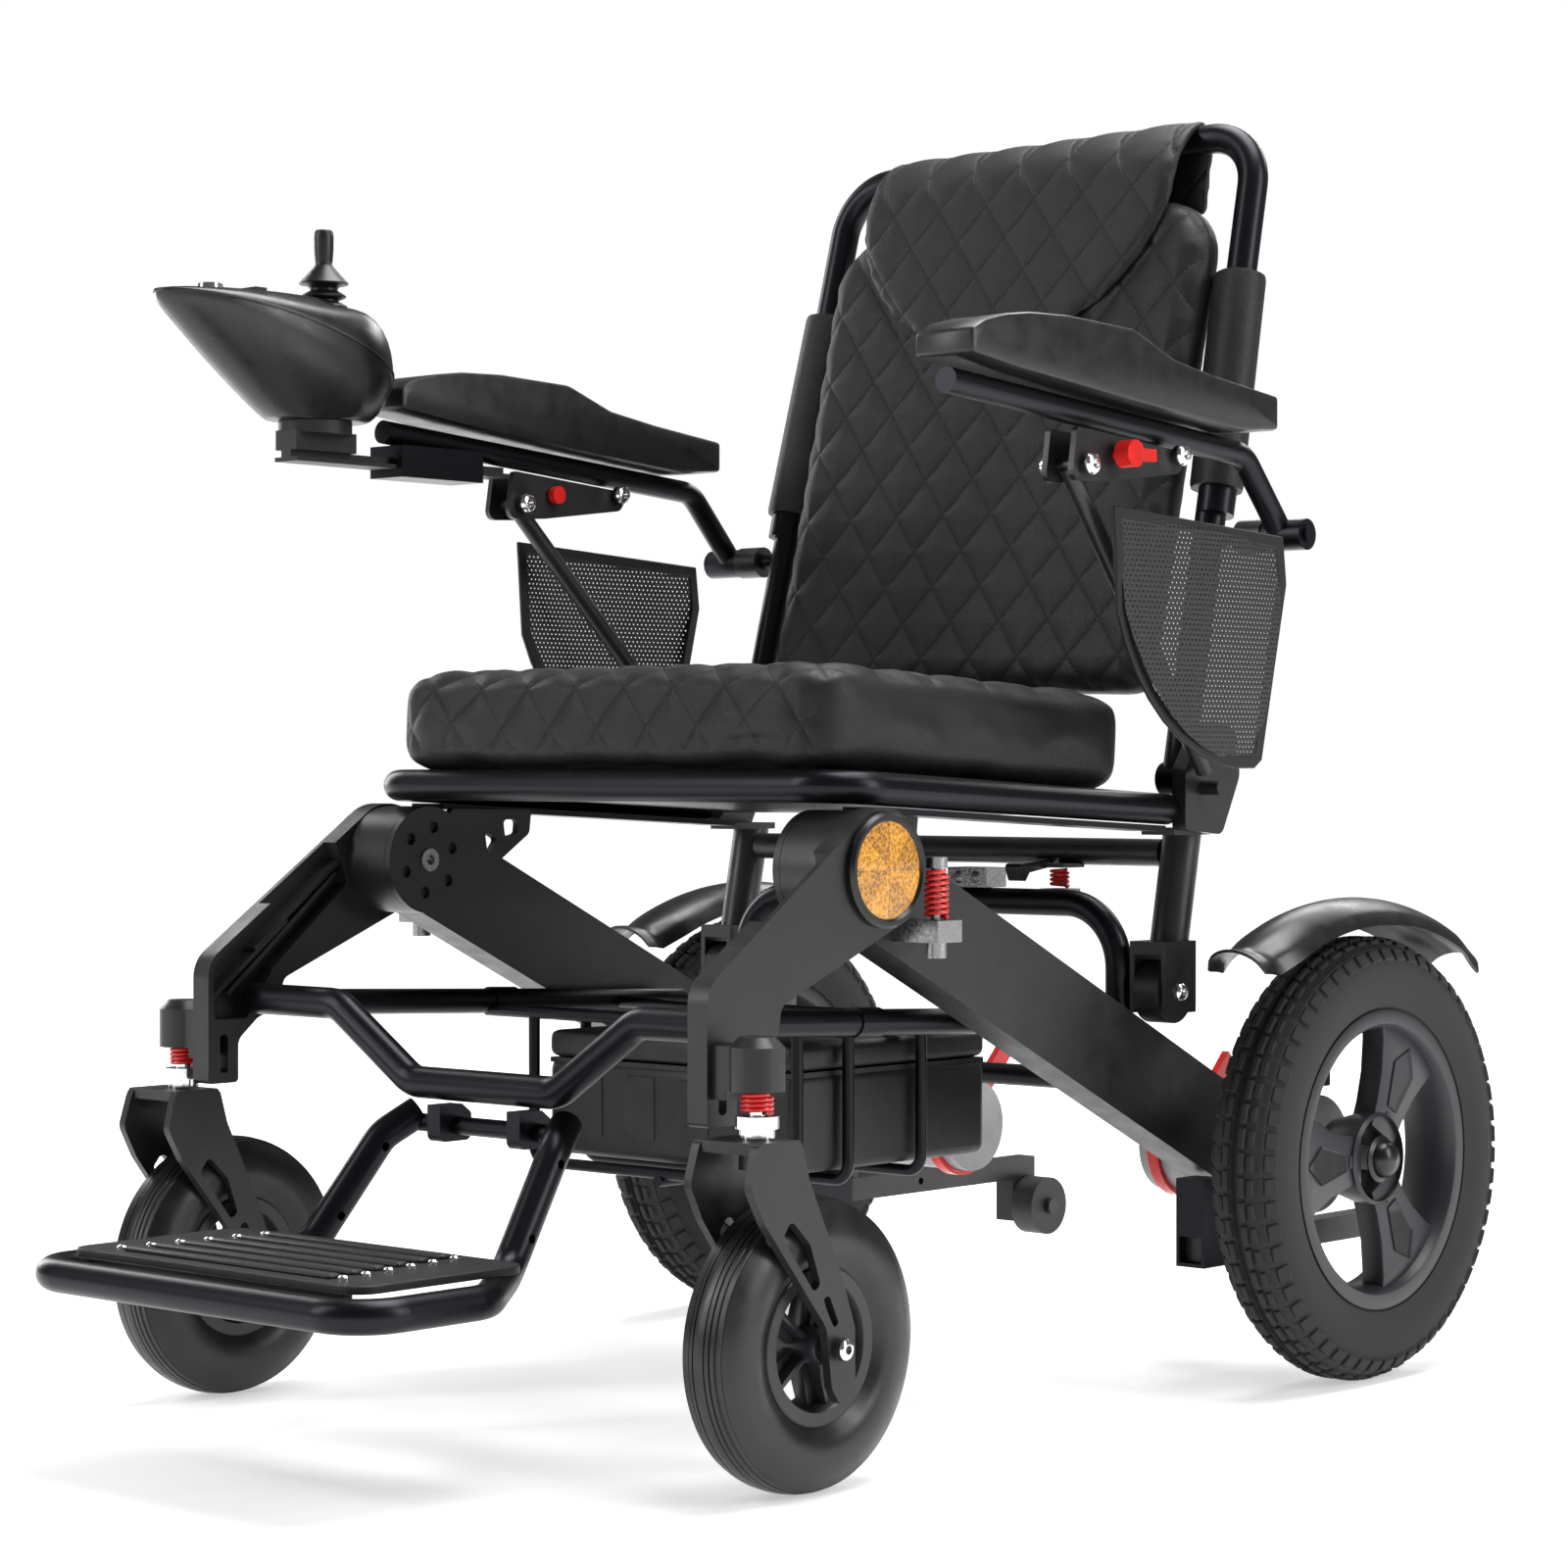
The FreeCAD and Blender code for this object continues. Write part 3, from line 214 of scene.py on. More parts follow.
@dataclass(frozen=True)
class PowderCoat(Finish):
    """Baked paint on tube or casting: fine orange peel, faint mottling, rubbed patches."""

    roughness: float = 0.3
    peel: float = 0.08
    coat: float = 0.0

    def fill(self) -> Shader:
        """Builds the surface."""
        paint = Shader(self.name, Coat_Weight=self.coat, Coat_Roughness=0.12)
        mottling = paint.noise(22.0, 5.0)
        shades = self.scaled(0.8), self.scaled(1.25)
        paint.feed("Base Color", paint.tint(paint.spread(mottling, 0, 1), *shades))
        rubbed = paint.noise(55.0, 8.0)
        paint.feed("Roughness", paint.spread(rubbed, self.roughness - 0.05, self.roughness + 0.07))
        paint.emboss((paint.noise(750.0, 2.0), self.peel, 0.0004),
                     (paint.noise(2600.0, 1.0), self.peel, 0.0001))
        return paint


@dataclass(frozen=True)
class Plated(Finish):
    """Bright plating with fine turned scratches."""

    roughness: float = 0.14

    def fill(self) -> Shader:
        """Builds the surface."""
        metal = Shader(self.name, Metallic=1.0)
        haze = metal.noise(90.0, 6.0)
        metal.feed("Base Color", metal.tint(metal.spread(haze, 0, 1), self.scaled(0.86), self.shade))
        scratches = metal.noise(420.0, 3.0)
        metal.feed("Roughness", metal.spread(scratches, self.roughness * 0.6, self.roughness * 1.8))
        metal.emboss((metal.noise(1500.0, 2.0), 0.05, 0.0001))
        return metal


@dataclass(frozen=True)
class Moulded(Finish):
    """Moulded plastic: spark-eroded grain, slightly polished high spots."""

    roughness: float = 0.4
    grain: float = 0.12
    grain_scale: float = 1500.0

    def fill(self) -> Shader:
        """Builds the surface."""
        plastic = Shader(self.name)
        cloud = plastic.noise(30.0, 4.0)
        polished = plastic.noise(70.0, 6.0)
        shades = self.scaled(0.82), self.scaled(1.2)
        plastic.feed("Base Color", plastic.tint(plastic.spread(cloud, 0, 1), *shades))
        plastic.feed("Roughness", plastic.spread(polished, self.roughness - 0.04, self.roughness + 0.07))
        plastic.emboss((plastic.cells(self.grain_scale), self.grain, 0.0002),
                       (plastic.noise(12.0, 2.0), 0.04, 0.001))
        return plastic


@dataclass(frozen=True)
class TyreRubber(Finish):
    """Vulcanised rubber with lighter dusty patches."""

    def fill(self) -> Shader:
        """Builds the surface."""
        rubber = Shader(self.name, Specular_IOR_Level=0.25)
        bloom = rubber.noise(26.0, 7.0)
        dusty = rubber.spread(bloom, 0, 1, 0.42, 0.75)
        rubber.feed("Base Color", rubber.tint(dusty, self.scaled(0.85), self.scaled(1.5)))
        rubber.feed("Roughness", rubber.spread(rubber.noise(60.0, 5.0), 0.4, 0.58))
        rubber.emboss((rubber.noise(900.0, 3.0), 0.1, 0.0003), (rubber.noise(160.0, 2.0), 0.05, 0.0006))
        return rubber


@dataclass(frozen=True)
class Hide(Finish):
    """Soft coated cloth, plain or sewn in diamonds that follow the piece's own map, with painted shade in the
    sewn grooves.

    cell is a diamond's width and height, or None for plain cloth.
    """

    cell: Optional[tuple[float, float]] = None
    grain: float = 0.22
    roughness: float = 0.55

    def fill(self) -> Shader:
        """Builds the surface."""
        cloth = Shader(self.name, Specular_IOR_Level=0.35)
        fine = cloth.cells(1100.0)
        pebble = cloth.noise(480.0, 3.0)
        creases = cloth.noise(38.0, 6.0)
        # The colour follows the creases' height: darker in their hollows, lighter on their crests.
        crease_tone = cloth.spread(creases, 0, 1, 0.35, 0.7)
        colour = cloth.tint(crease_tone, self.scaled(0.85), self.scaled(1.18))
        cloth.feed("Roughness", cloth.spread(pebble, self.roughness - 0.06, self.roughness + 0.08))
        layers = [(creases, 0.12, 0.002), (pebble, self.grain, 0.0003), (fine, self.grain, 0.0002)]
        if self.cell:
            groove_and_shade, stitch = self.sewing(cloth)
            # Painted shade: the cloth is darkened towards half its colour in the sewn grooves.
            colour = cloth.tint(cloth.calc("MULTIPLY", groove_and_shade, 0.35), colour, self.scaled(0.5))
            colour = cloth.tint(stitch, colour, self.scaled(0.35))
            layers.append((cloth.calc("MULTIPLY", groove_and_shade, -1.0), 0.4, 0.0010))
            layers.append((stitch, 0.5, 0.0006))
        cloth.feed("Base Color", colour)
        cloth.emboss(*layers)
        return cloth

    def sewing(self, cloth: Shader) -> tuple[bpy.types.NodeSocket, ...]:
        """Grooves and thread of the diamonds.

        Args:
            cloth: the shader to add to.
        Returns:
            the groove's depth, which also places the painted shade in the grooves, and the thread's presence,
            each 0 to 1.
        """
        uv = cloth.nodes.new("ShaderNodeUVMap")
        uv.uv_map = QUILT_MAP
        sewn = cloth.nodes.new("ShaderNodeAttribute")
        sewn.attribute_name = QUILT_MASK
        parts = cloth.node("ShaderNodeSeparateXYZ", Vector=uv.outputs["UV"])
        across = cloth.calc("DIVIDE", parts.outputs[0], self.cell[0])
        along = cloth.calc("DIVIDE", parts.outputs[1], self.cell[1])
        slopes = (cloth.calc("ADD", across, along), cloth.calc("SUBTRACT", across, along))
        grooves, threads = [], []
        for line, other in (slopes, slopes[::-1]):
            off = cloth.calc("PINGPONG", line, 0.5)
            grooves.append(cloth.spread(off, 1.0, 0.0, 0.0, 0.05))
            near = cloth.spread(off, 1.0, 0.0, 0.016, 0.026)
            dash = cloth.calc("PINGPONG", cloth.calc("MULTIPLY", other, 9.0), 0.5)
            threads.append(cloth.calc("MULTIPLY", near, cloth.spread(dash, 0.0, 1.0, 0.16, 0.24)))
        shown = sewn.outputs["Fac"]
        groove_and_shade = cloth.calc("MULTIPLY", cloth.calc("MAXIMUM", *grooves), shown)
        stitch = cloth.calc("MULTIPLY", cloth.calc("MAXIMUM", *threads), shown)
        return groove_and_shade, stitch


@dataclass(frozen=True)
class OpenNet(Finish):
    """Knitted net: rows of slanted holes that light passes through."""

    pitch: float = 0.0034

    def fill(self) -> Shader:
        """Builds the surface."""
        net = Shader(self.name, Roughness=0.6)
        parts = net.node("ShaderNodeSeparateXYZ", Vector=net.place)
        rise = net.calc("DIVIDE", parts.outputs[2], self.pitch)
        run = net.calc("DIVIDE", parts.outputs[1], self.pitch * 1.3)
        shifted = net.calc("ADD", run, net.calc("MULTIPLY", net.calc("FLOOR", rise), 0.5))
        hole_y = net.calc("SUBTRACT", net.calc("FRACT", shifted), 0.5)
        hole_z = net.calc("SUBTRACT", net.calc("FRACT", rise), 0.5)
        reach = net.calc("SQRT", net.calc("ADD", net.calc("MULTIPLY", hole_y, hole_y),
                                          net.calc("MULTIPLY", net.calc("MULTIPLY", hole_z, hole_z), 1.5)))
        yarn = net.spread(reach, 0.0, 1.0, 0.19, 0.23)
        net.feed("Alpha", yarn)
        net.feed("Base Color", net.tint(net.noise(900.0), self.scaled(0.7), self.scaled(1.5)))
        net.emboss((reach, 0.6, 0.001))
        return net


@dataclass(frozen=True)
class Prism(Finish):
    """Reflector lens: sectors of moulded prisms about an axis along X, with the prisms' glints and the shade
    at the sector edges painted into its colour.
    """

    centre_y: float = 0.0
    centre_z: float = 0.0

    def fill(self) -> Shader:
        """Builds the surface."""
        lens = Shader(self.name, Coat_Weight=0.8, Coat_Roughness=0.06, Roughness=0.18)
        parts = lens.node("ShaderNodeSeparateXYZ", Vector=lens.place)
        y = lens.calc("SUBTRACT", parts.outputs[1], self.centre_y)
        z = lens.calc("SUBTRACT", parts.outputs[2], self.centre_z)
        turn = lens.calc("MULTIPLY", lens.calc("ARCTAN2", z, y), 4 / math.pi)
        sector = lens.calc("FLOOR", turn)
        odd = lens.calc("GREATER_THAN", lens.calc("PINGPONG", sector, 1.0), 0.5)
        dots = lens.cells(420.0)
        # Painted light: the prism dots and every other sector are painted brighter as glints, and the sector
        # edges painted darker as shade.
        bright = lens.calc("ADD", lens.spread(dots, 0.1, 0.75, 0.15, 0.75), lens.calc("MULTIPLY", odd, 0.25))
        edge = lens.spread(lens.calc("PINGPONG", turn, 0.5), 0.25, 1.0, 0.0, 0.035)
        painted_prism_glint = lens.calc("MULTIPLY", bright, edge)
        # The lens runs from a painted dark brown shade to amber where the painted glints fall.
        lens.feed("Base Color", lens.tint(painted_prism_glint, (0.10, 0.035, 0.0), self.shade))
        lens.emboss((dots, 0.9, 0.0012))
        return lens


@dataclass(frozen=True)
class Paper(Finish):
    """The studio's pale floor."""

    def fill(self) -> Shader:
        """Builds the surface."""
        paper = Shader(self.name, Roughness=0.55, Emission_Color=(1.0, 1.0, 1.0, 1.0))
        paper.feed("Base Color", paper.tint(paper.noise(3.0), self.scaled(0.99), self.shade))
        away = paper.node("ShaderNodeVectorMath", Vector=paper.place)
        away.operation = "LENGTH"
        paper.feed("Emission Strength", paper.spread(away.outputs["Value"], 0.45, 1.0, 0.9, 2.6))
        return paper


QUILT_MAP, QUILT_MASK = "quilt", "sewn"
CELL = (0.0455, 0.056)
GLOSS_TUBE = PowderCoat("gloss_black_tube", (0.006, 0.006, 0.0062), roughness=0.24, peel=0.05, coat=0.6)
SATIN_CAST = PowderCoat("satin_black_casting", (0.0085, 0.0085, 0.0088), roughness=0.38, peel=0.12)
FORK_COAT = PowderCoat("fork_coat", (0.013, 0.013, 0.0132), roughness=0.42, peel=0.1)
MOTOR_COAT = PowderCoat("motor_grey_coat", (0.30, 0.30, 0.31), roughness=0.38, peel=0.1)
RED_ENAMEL = PowderCoat("red_enamel", (0.62, 0.012, 0.012), roughness=0.22, peel=0.05, coat=0.6)
CHROME = Plated("bright_plate", (0.86, 0.86, 0.87))
STEEL = Plated("dark_plate", (0.36, 0.36, 0.37), roughness=0.24)
TYRE = TyreRubber("tyre_rubber", (0.008, 0.008, 0.008))
CASTER_TYRE = Moulded("caster_tread", (0.0055, 0.0055, 0.0055), roughness=0.34, grain=0.05)
RIM = Moulded("rim_black", (0.011, 0.011, 0.0112), roughness=0.38, grain=0.08)
SHELL = Moulded("shell_black", (0.006, 0.006, 0.0062), roughness=0.3, grain=0.05, grain_scale=2200.0)
DULL = Moulded("dull_black", (0.0075, 0.0075, 0.0076), roughness=0.5, grain=0.2)
BOOT = Moulded("boot_rubber", (0.0055, 0.0055, 0.0055), roughness=0.42, grain=0.1)
PAD_SKIN = Moulded("pad_skin", (0.0065, 0.0065, 0.0066), roughness=0.36, grain=0.12, grain_scale=900.0)
QUILTED = Hide("quilted_cloth", (0.0085, 0.0085, 0.0088), cell=CELL)
PLAIN_HIDE = Hide("sleeve_hide", (0.0085, 0.0085, 0.0088), grain=0.6, roughness=0.5)
BINDING = Hide("binding_tape", (0.008, 0.008, 0.008), grain=0.15, roughness=0.5)
NET = OpenNet("pocket_net", (0.010, 0.010, 0.010))
RED_KNOB = Moulded("red_knob", (0.62, 0.015, 0.012), roughness=0.28, grain=0.05)

# ---------------------------------------------------------------- mesh work


class Work:
    """A bmesh being shaped, with the operators that the pieces share."""

    def __init__(self) -> None:
        """Starts empty."""
        self.bm = bmesh.new()

    def spin(self, profile: Outline, centre: Vector, steps: int = 64, axis: str = "X", loop: bool = False,
             span: Optional[tuple[float, float]] = None) -> list[bmesh.types.BMVert]:
        """Spins an outline of (along the axis, radius) points.

        Args:
            profile: the outline's points.
            centre: a point on the axis.
            steps: how many steps make the turn.
            axis: X or Z.
            loop: whether the outline closes on itself.
            span: start and end angle in radians for a part turn, from straight up about X.
        Returns:
            the new vertices.
        """
        along = Vector((1, 0, 0)) if axis == "X" else Vector((0, 0, 1))
        out = Vector((0, 0, 1)) if axis == "X" else Vector((1, 0, 0))
        start, end = span or (0.0, 2 * math.pi)
        turn = Matrix.Rotation(start, 3, along)
        verts = [self.bm.verts.new(centre + along * a + turn @ (out * r)) for a, r in profile]
        edges = [self.bm.edges.new(pair) for pair in zip(verts, verts[1:])]
        if loop:
            edges.append(self.bm.edges.new((verts[-1], verts[0])))
        known = set(self.bm.verts) - set(verts)
        bmesh.ops.spin(self.bm, geom=verts + edges, cent=centre, axis=along, angle=end - start, steps=steps,
                       use_merge=span is None)
        made = [v for v in self.bm.verts if v not in known]
        bmesh.ops.remove_doubles(self.bm, verts=made, dist=1e-6)
        return [v for v in self.bm.verts if v not in known]

    def block(self, low: Sequence[float], high: Sequence[float], bevel: float = 0.0,
              place: Optional[Matrix] = None, segments: int = 2) -> None:
        """A bevelled block between two corners, moved by place."""
        low, high = Vector(low), Vector(high)
        shape = Matrix.Translation((low + high) / 2) @ Matrix.Diagonal((*(high - low), 1))
        verts = bmesh.ops.create_cube(self.bm, size=1, matrix=(place or Matrix()) @ shape)["verts"]
        if bevel:
            self.soften(list({e for v in verts for e in v.link_edges}), bevel, segments)

    def soften(self, edges: list[bmesh.types.BMEdge], offset: float, segments: int = 2) -> None:
        """Rounds edges."""
        bmesh.ops.bevel(self.bm, geom=edges, offset=offset, offset_type="OFFSET", segments=segments,
                        profile=0.5, affect="EDGES", material=-1, clamp_overlap=True)

    def prism(self, outline: Outline, low: float, high: float, corner: float = 0.0, rim: float = 0.0,
              place: Optional[Matrix] = None, corner_segments: int = 4) -> list[bmesh.types.BMVert]:
        """An outline of (y, z) points carried from low to high along X.

        Args:
            outline: the points.
            low, high: the two ends along X.
            corner: radius of the outline's corners.
            rim: radius of the edges round the two ends.
            place: a matrix that moves the result.
            corner_segments: facets in each corner.
        Returns:
            the new vertices.
        """
        known = set(self.bm.verts)
        face = self.bm.faces.new([self.bm.verts.new((low, y, z)) for y, z in outline])
        made = bmesh.ops.extrude_face_region(self.bm, geom=[face])["geom"]
        moved = [v for v in made if isinstance(v, bmesh.types.BMVert)]
        bmesh.ops.translate(self.bm, vec=(high - low, 0, 0), verts=moved)
        verts = [v for v in self.bm.verts if v not in known]
        faces = list({f for v in verts for f in v.link_faces})
        bmesh.ops.recalc_face_normals(self.bm, faces=faces)
        if corner:
            long_edges = [e for e in {e for v in verts for e in v.link_edges}
                          if abs(e.verts[0].co.x - e.verts[1].co.x) > abs(high - low) * 0.9]
            self.soften(long_edges, corner, corner_segments)
        verts = [v for v in self.bm.verts if v not in known]
        if rim:
            ends = [e for e in {e for v in verts for e in v.link_edges}
                    if abs(e.verts[0].co.x - e.verts[1].co.x) < 1e-6]
            self.soften(ends, rim)
        verts = [v for v in self.bm.verts if v not in known]
        if place:
            bmesh.ops.transform(self.bm, matrix=place, verts=verts)
        return verts

    def loft(self, rings: Sequence[Sequence[Vector]], cap: bool = True) -> list[bmesh.types.BMVert]:
        """Bridges closed rings of points in order, and caps the first and last."""
        known = set(self.bm.verts)
        loops = []
        for ring in rings:
            verts = bmesh.ops.create_circle(self.bm, segments=len(ring), radius=0.01)["verts"]
            for vert, place in zip(verts, ring):
                vert.co = place
            loops.append(list({e for v in verts for e in v.link_edges}))
        for first, second in zip(loops, loops[1:]):
            bmesh.ops.bridge_loops(self.bm, edges=first + second)
        if cap:
            for loop in (loops[0], loops[-1]):
                bmesh.ops.contextual_create(self.bm, geom=loop)
        return [v for v in self.bm.verts if v not in known]

    def piece(self, name: str, finish: Finish, body: str, replaces: Sequence[str] = (),
              sharp: float = 35.0, bevel: float = 0.0) -> bpy.types.Object:
        """Turns the bmesh into a finished piece on the frame.

        Args:
            name: the piece's name.
            finish: its finish.
            body: the frame body that it rides on.
            replaces: frame nodes that it stands for.
            sharp: edges sharper than this many degrees stay sharp.
            bevel: width of a bevel on sharp edges.
        Returns:
            the object.
        """
        bmesh.ops.recalc_face_normals(self.bm, faces=self.bm.faces)
        mesh = bpy.data.meshes.new(name)
        self.bm.to_mesh(mesh)
        self.bm.free()
        mesh.shade_smooth()
        item = bpy.data.objects.new(name, mesh)
        bpy.context.scene.collection.objects.link(item)
        if bevel:
            edge = item.modifiers.new("edges", "BEVEL")
            edge.width, edge.segments = bevel, 2
            edge.limit_method, edge.angle_limit = "ANGLE", math.radians(sharp)
        mesh.set_sharp_from_angle(angle=math.radians(sharp))
        return dress(item, finish, body, replaces)


def dress(item: bpy.types.Object, finish: Finish, body: str,
          replaces: Sequence[str] = ()) -> bpy.types.Object:
    """Gives a piece its finish and body, and hides the frame nodes that it stands for."""
    item.data.materials.clear()
    item.data.materials.append(finish.material)
    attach(item, body)
    if replaces:
        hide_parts(*replaces)
    LOG.info("%s on %s: %d faces", item.name, body, len(item.data.polygons))
    return item


def repaint(finish: Finish, *names: str) -> None:
    """Gives frame nodes a finish."""
    for name in names:
        node = frame["nodes"][name]
        node.data.materials.clear()
        node.data.materials.append(finish.material)
        for polygon in node.data.polygons:
            polygon.material_index = 0


# ---------------------------------------------------------------- studio


@dataclass
class Studio:
    """Camera, pale floor and soft lights."""

    eye: tuple[float, float, float] = (1.7058, -1.9206, 0.4287)
    heading: float = 41.78
    pitch: float = -0.16
    lens: float = 83.66
    floor_half: float = 30.0

    def camera(self) -> None:
        """Sets the camera."""
        data = bpy.data.cameras.new("camera")
        data.lens, data.sensor_width = self.lens, 36.0
        data.clip_start, data.clip_end = 0.05, 200.0
        camera = bpy.data.objects.new("camera", data)
        camera.location = self.eye
        camera.rotation_euler = (math.radians(90 + self.pitch), 0, math.radians(self.heading))
        bpy.context.scene.collection.objects.link(camera)
        bpy.context.scene.camera = camera

    def floor(self) -> None:
        """Lays the floor."""
        work = bmesh.new()
        bmesh.ops.create_grid(work, x_segments=4, y_segments=4, size=self.floor_half)
        mesh = bpy.data.meshes.new("floor")
        work.to_mesh(mesh)
        work.free()
        floor = bpy.data.objects.new("floor", mesh)
        floor.data.materials.append(Paper("floor_paper", (0.93, 0.93, 0.93)).material)
        bpy.context.scene.collection.objects.link(floor)

    def lamp(self, name: str, place: Sequence[float], size: tuple[float, float], power: float) -> None:
        """A rectangular soft light that faces the chair."""
        data = bpy.data.lights.new(name, "AREA")
        data.shape, data.energy = "RECTANGLE", power
        data.size, data.size_y = size
        lamp = bpy.data.objects.new(name, data)
        lamp.location = place
        lamp.rotation_euler = (Vector((0, 0, 0.45)) - Vector(place)).to_track_quat("-Z", "Y").to_euler()
        bpy.context.scene.collection.objects.link(lamp)

    def sky(self) -> None:
        """A white surround, dimmer as a light than it looks."""
        world = bpy.data.worlds.new("studio")
        world.use_nodes = True
        nodes, links = world.node_tree.nodes, world.node_tree.links
        glow = nodes["Background"]
        glow.inputs["Color"].default_value = (1, 1, 1, 1)
        strength = nodes.new("ShaderNodeMapRange")
        links.new(nodes.new("ShaderNodeLightPath").outputs["Is Camera Ray"], strength.inputs["Value"])
        strength.inputs["To Min"].default_value = 0.12
        strength.inputs["To Max"].default_value = 1.0
        links.new(strength.outputs[0], glow.inputs["Strength"])
        bpy.context.scene.world = world

    def build(self) -> None:
        """Sets up everything that isn't the chair."""
        self.camera()
        self.floor()
        self.sky()
        self.lamp("overhead", (0.2, 0.6, 3.0), (2.4, 1.6), 112)
        self.lamp("front_strip", (-1.6, -2.6, 1.9), (0.5, 2.4), 42)
        self.lamp("left_window", (3.0, 0.9, 1.7), (0.8, 2.4), 52)
        self.lamp("right_window", (-3.0, 0.3, 1.4), (0.8, 2.2), 38)
        self.lamp("back_strip", (-0.6, 2.8, 2.2), (2.4, 0.6), 32)
        bpy.context.scene.view_settings.view_transform = "Standard"


# ---------------------------------------------------------------- soft goods


@dataclass
class Quilting:
    """Diamond sewing: where a point lies on the flat cloth, and how deep the thread pulls."""

    cell: tuple[float, float] = CELL
    depth: float = 0.0022

    def puff(self, u: float, v: float) -> float:
        """Height of the cloth between its sewn lines, 0 on a line and 1 at a diamond's middle."""
        first = abs(math.sin(math.pi * (u / self.cell[0] + v / self.cell[1])))
        second = abs(math.sin(math.pi * (u / self.cell[0] - v / self.cell[1])))
        return min(first, second) ** 0.7

    def sew(self, item: bpy.types.Object,
            flat: Callable[[Vector, Vector], tuple[float, float, float]]) -> None:
        """Pulls the sewn lines in and writes the map that the thread follows.

        Args:
            item: the swollen pad.
            flat: takes a point and its normal, and gives (across, along, how much it is sewn).
        """
        mesh = item.data
        places = [flat(vert.co, vert.normal) for vert in mesh.vertices]
        normals = [vert.normal.copy() for vert in mesh.vertices]
        for vert, (u, v, sewn), normal in zip(mesh.vertices, places, normals):
            vert.co -= normal * self.depth * sewn * (1 - self.puff(u, v))
        layer = mesh.uv_layers.new(name=QUILT_MAP)
        for corner in mesh.loops:
            layer.data[corner.index].uv = places[corner.vertex_index][:2]
        mask = mesh.attributes.new(QUILT_MASK, "FLOAT", "POINT")
        for index, (_, _, sewn) in enumerate(places):
            mask.data[index].value = sewn
        mesh.update()


def swell(item: bpy.types.Object, voxel: float, pressure: float, cap: float, frames: int = 20,
          soften: int = 4) -> None:
    """Fills a pad: remeshes it, inflates it as cloth, caps the movement and subdivides it once.

    Args:
        item: the pad's blank.
        voxel: size of the remeshed faces.
        pressure: how hard it is filled.
        cap: the furthest that a point may move.
        frames: length of the simulation.
        soften: smoothing passes afterwards.
    """
    scene = bpy.context.scene
    bpy.context.view_layer.objects.active = item
    remesh = item.modifiers.new("remesh", "REMESH")
    remesh.mode, remesh.voxel_size = "VOXEL", voxel
    apply_modifiers(item)
    start = [vert.co.copy() for vert in item.data.vertices]
    cloth = item.modifiers.new("cloth", "CLOTH")
    cloth.settings.quality = 5
    cloth.settings.mass = 0.25
    cloth.settings.tension_stiffness = cloth.settings.compression_stiffness = 12
    cloth.settings.bending_stiffness = 0.6
    cloth.settings.use_pressure = True
    cloth.settings.uniform_pressure_force = pressure
    cloth.settings.effector_weights.gravity = 0
    cloth.collision_settings.use_collision = False
    cloth.point_cache.frame_start, cloth.point_cache.frame_end = 1, frames
    for step in range(1, frames + 1):
        scene.frame_set(step)
    apply_modifiers(item)
    scene.frame_set(1)
    for vert, before in zip(item.data.vertices, start):
        moved = vert.co - before
        if moved.length > cap:
            vert.co = before + moved.normalized() * cap
    work = bmesh.new()
    work.from_mesh(item.data)
    for _ in range(soften):
        bmesh.ops.smooth_vert(work, verts=work.verts, factor=0.5,
                              use_axis_x=True, use_axis_y=True, use_axis_z=True)
    work.to_mesh(item.data)
    work.free()
    finer = item.modifiers.new("finer", "SUBSURF")
    finer.levels = finer.render_levels = 1
    apply_modifiers(item)
    item.data.shade_smooth()


def apply_modifiers(item: bpy.types.Object) -> None:
    """Bakes an object's modifiers into its mesh."""
    graph = bpy.context.evaluated_depsgraph_get()
    graph.update()
    baked = bpy.data.meshes.new_from_object(item.evaluated_get(graph))
    old = item.data
    item.modifiers.clear()
    item.data = baked
    bpy.data.meshes.remove(old)


def blank(name: str, work: Work) -> bpy.types.Object:
    """A loose object out of a bmesh, for a pad that isn't finished."""
    mesh = bpy.data.meshes.new(name)
    bmesh.ops.recalc_face_normals(work.bm, faces=work.bm.faces)
    work.bm.to_mesh(mesh)
    work.bm.free()
    item = bpy.data.objects.new(name, mesh)
    bpy.context.scene.collection.objects.link(item)
    return item


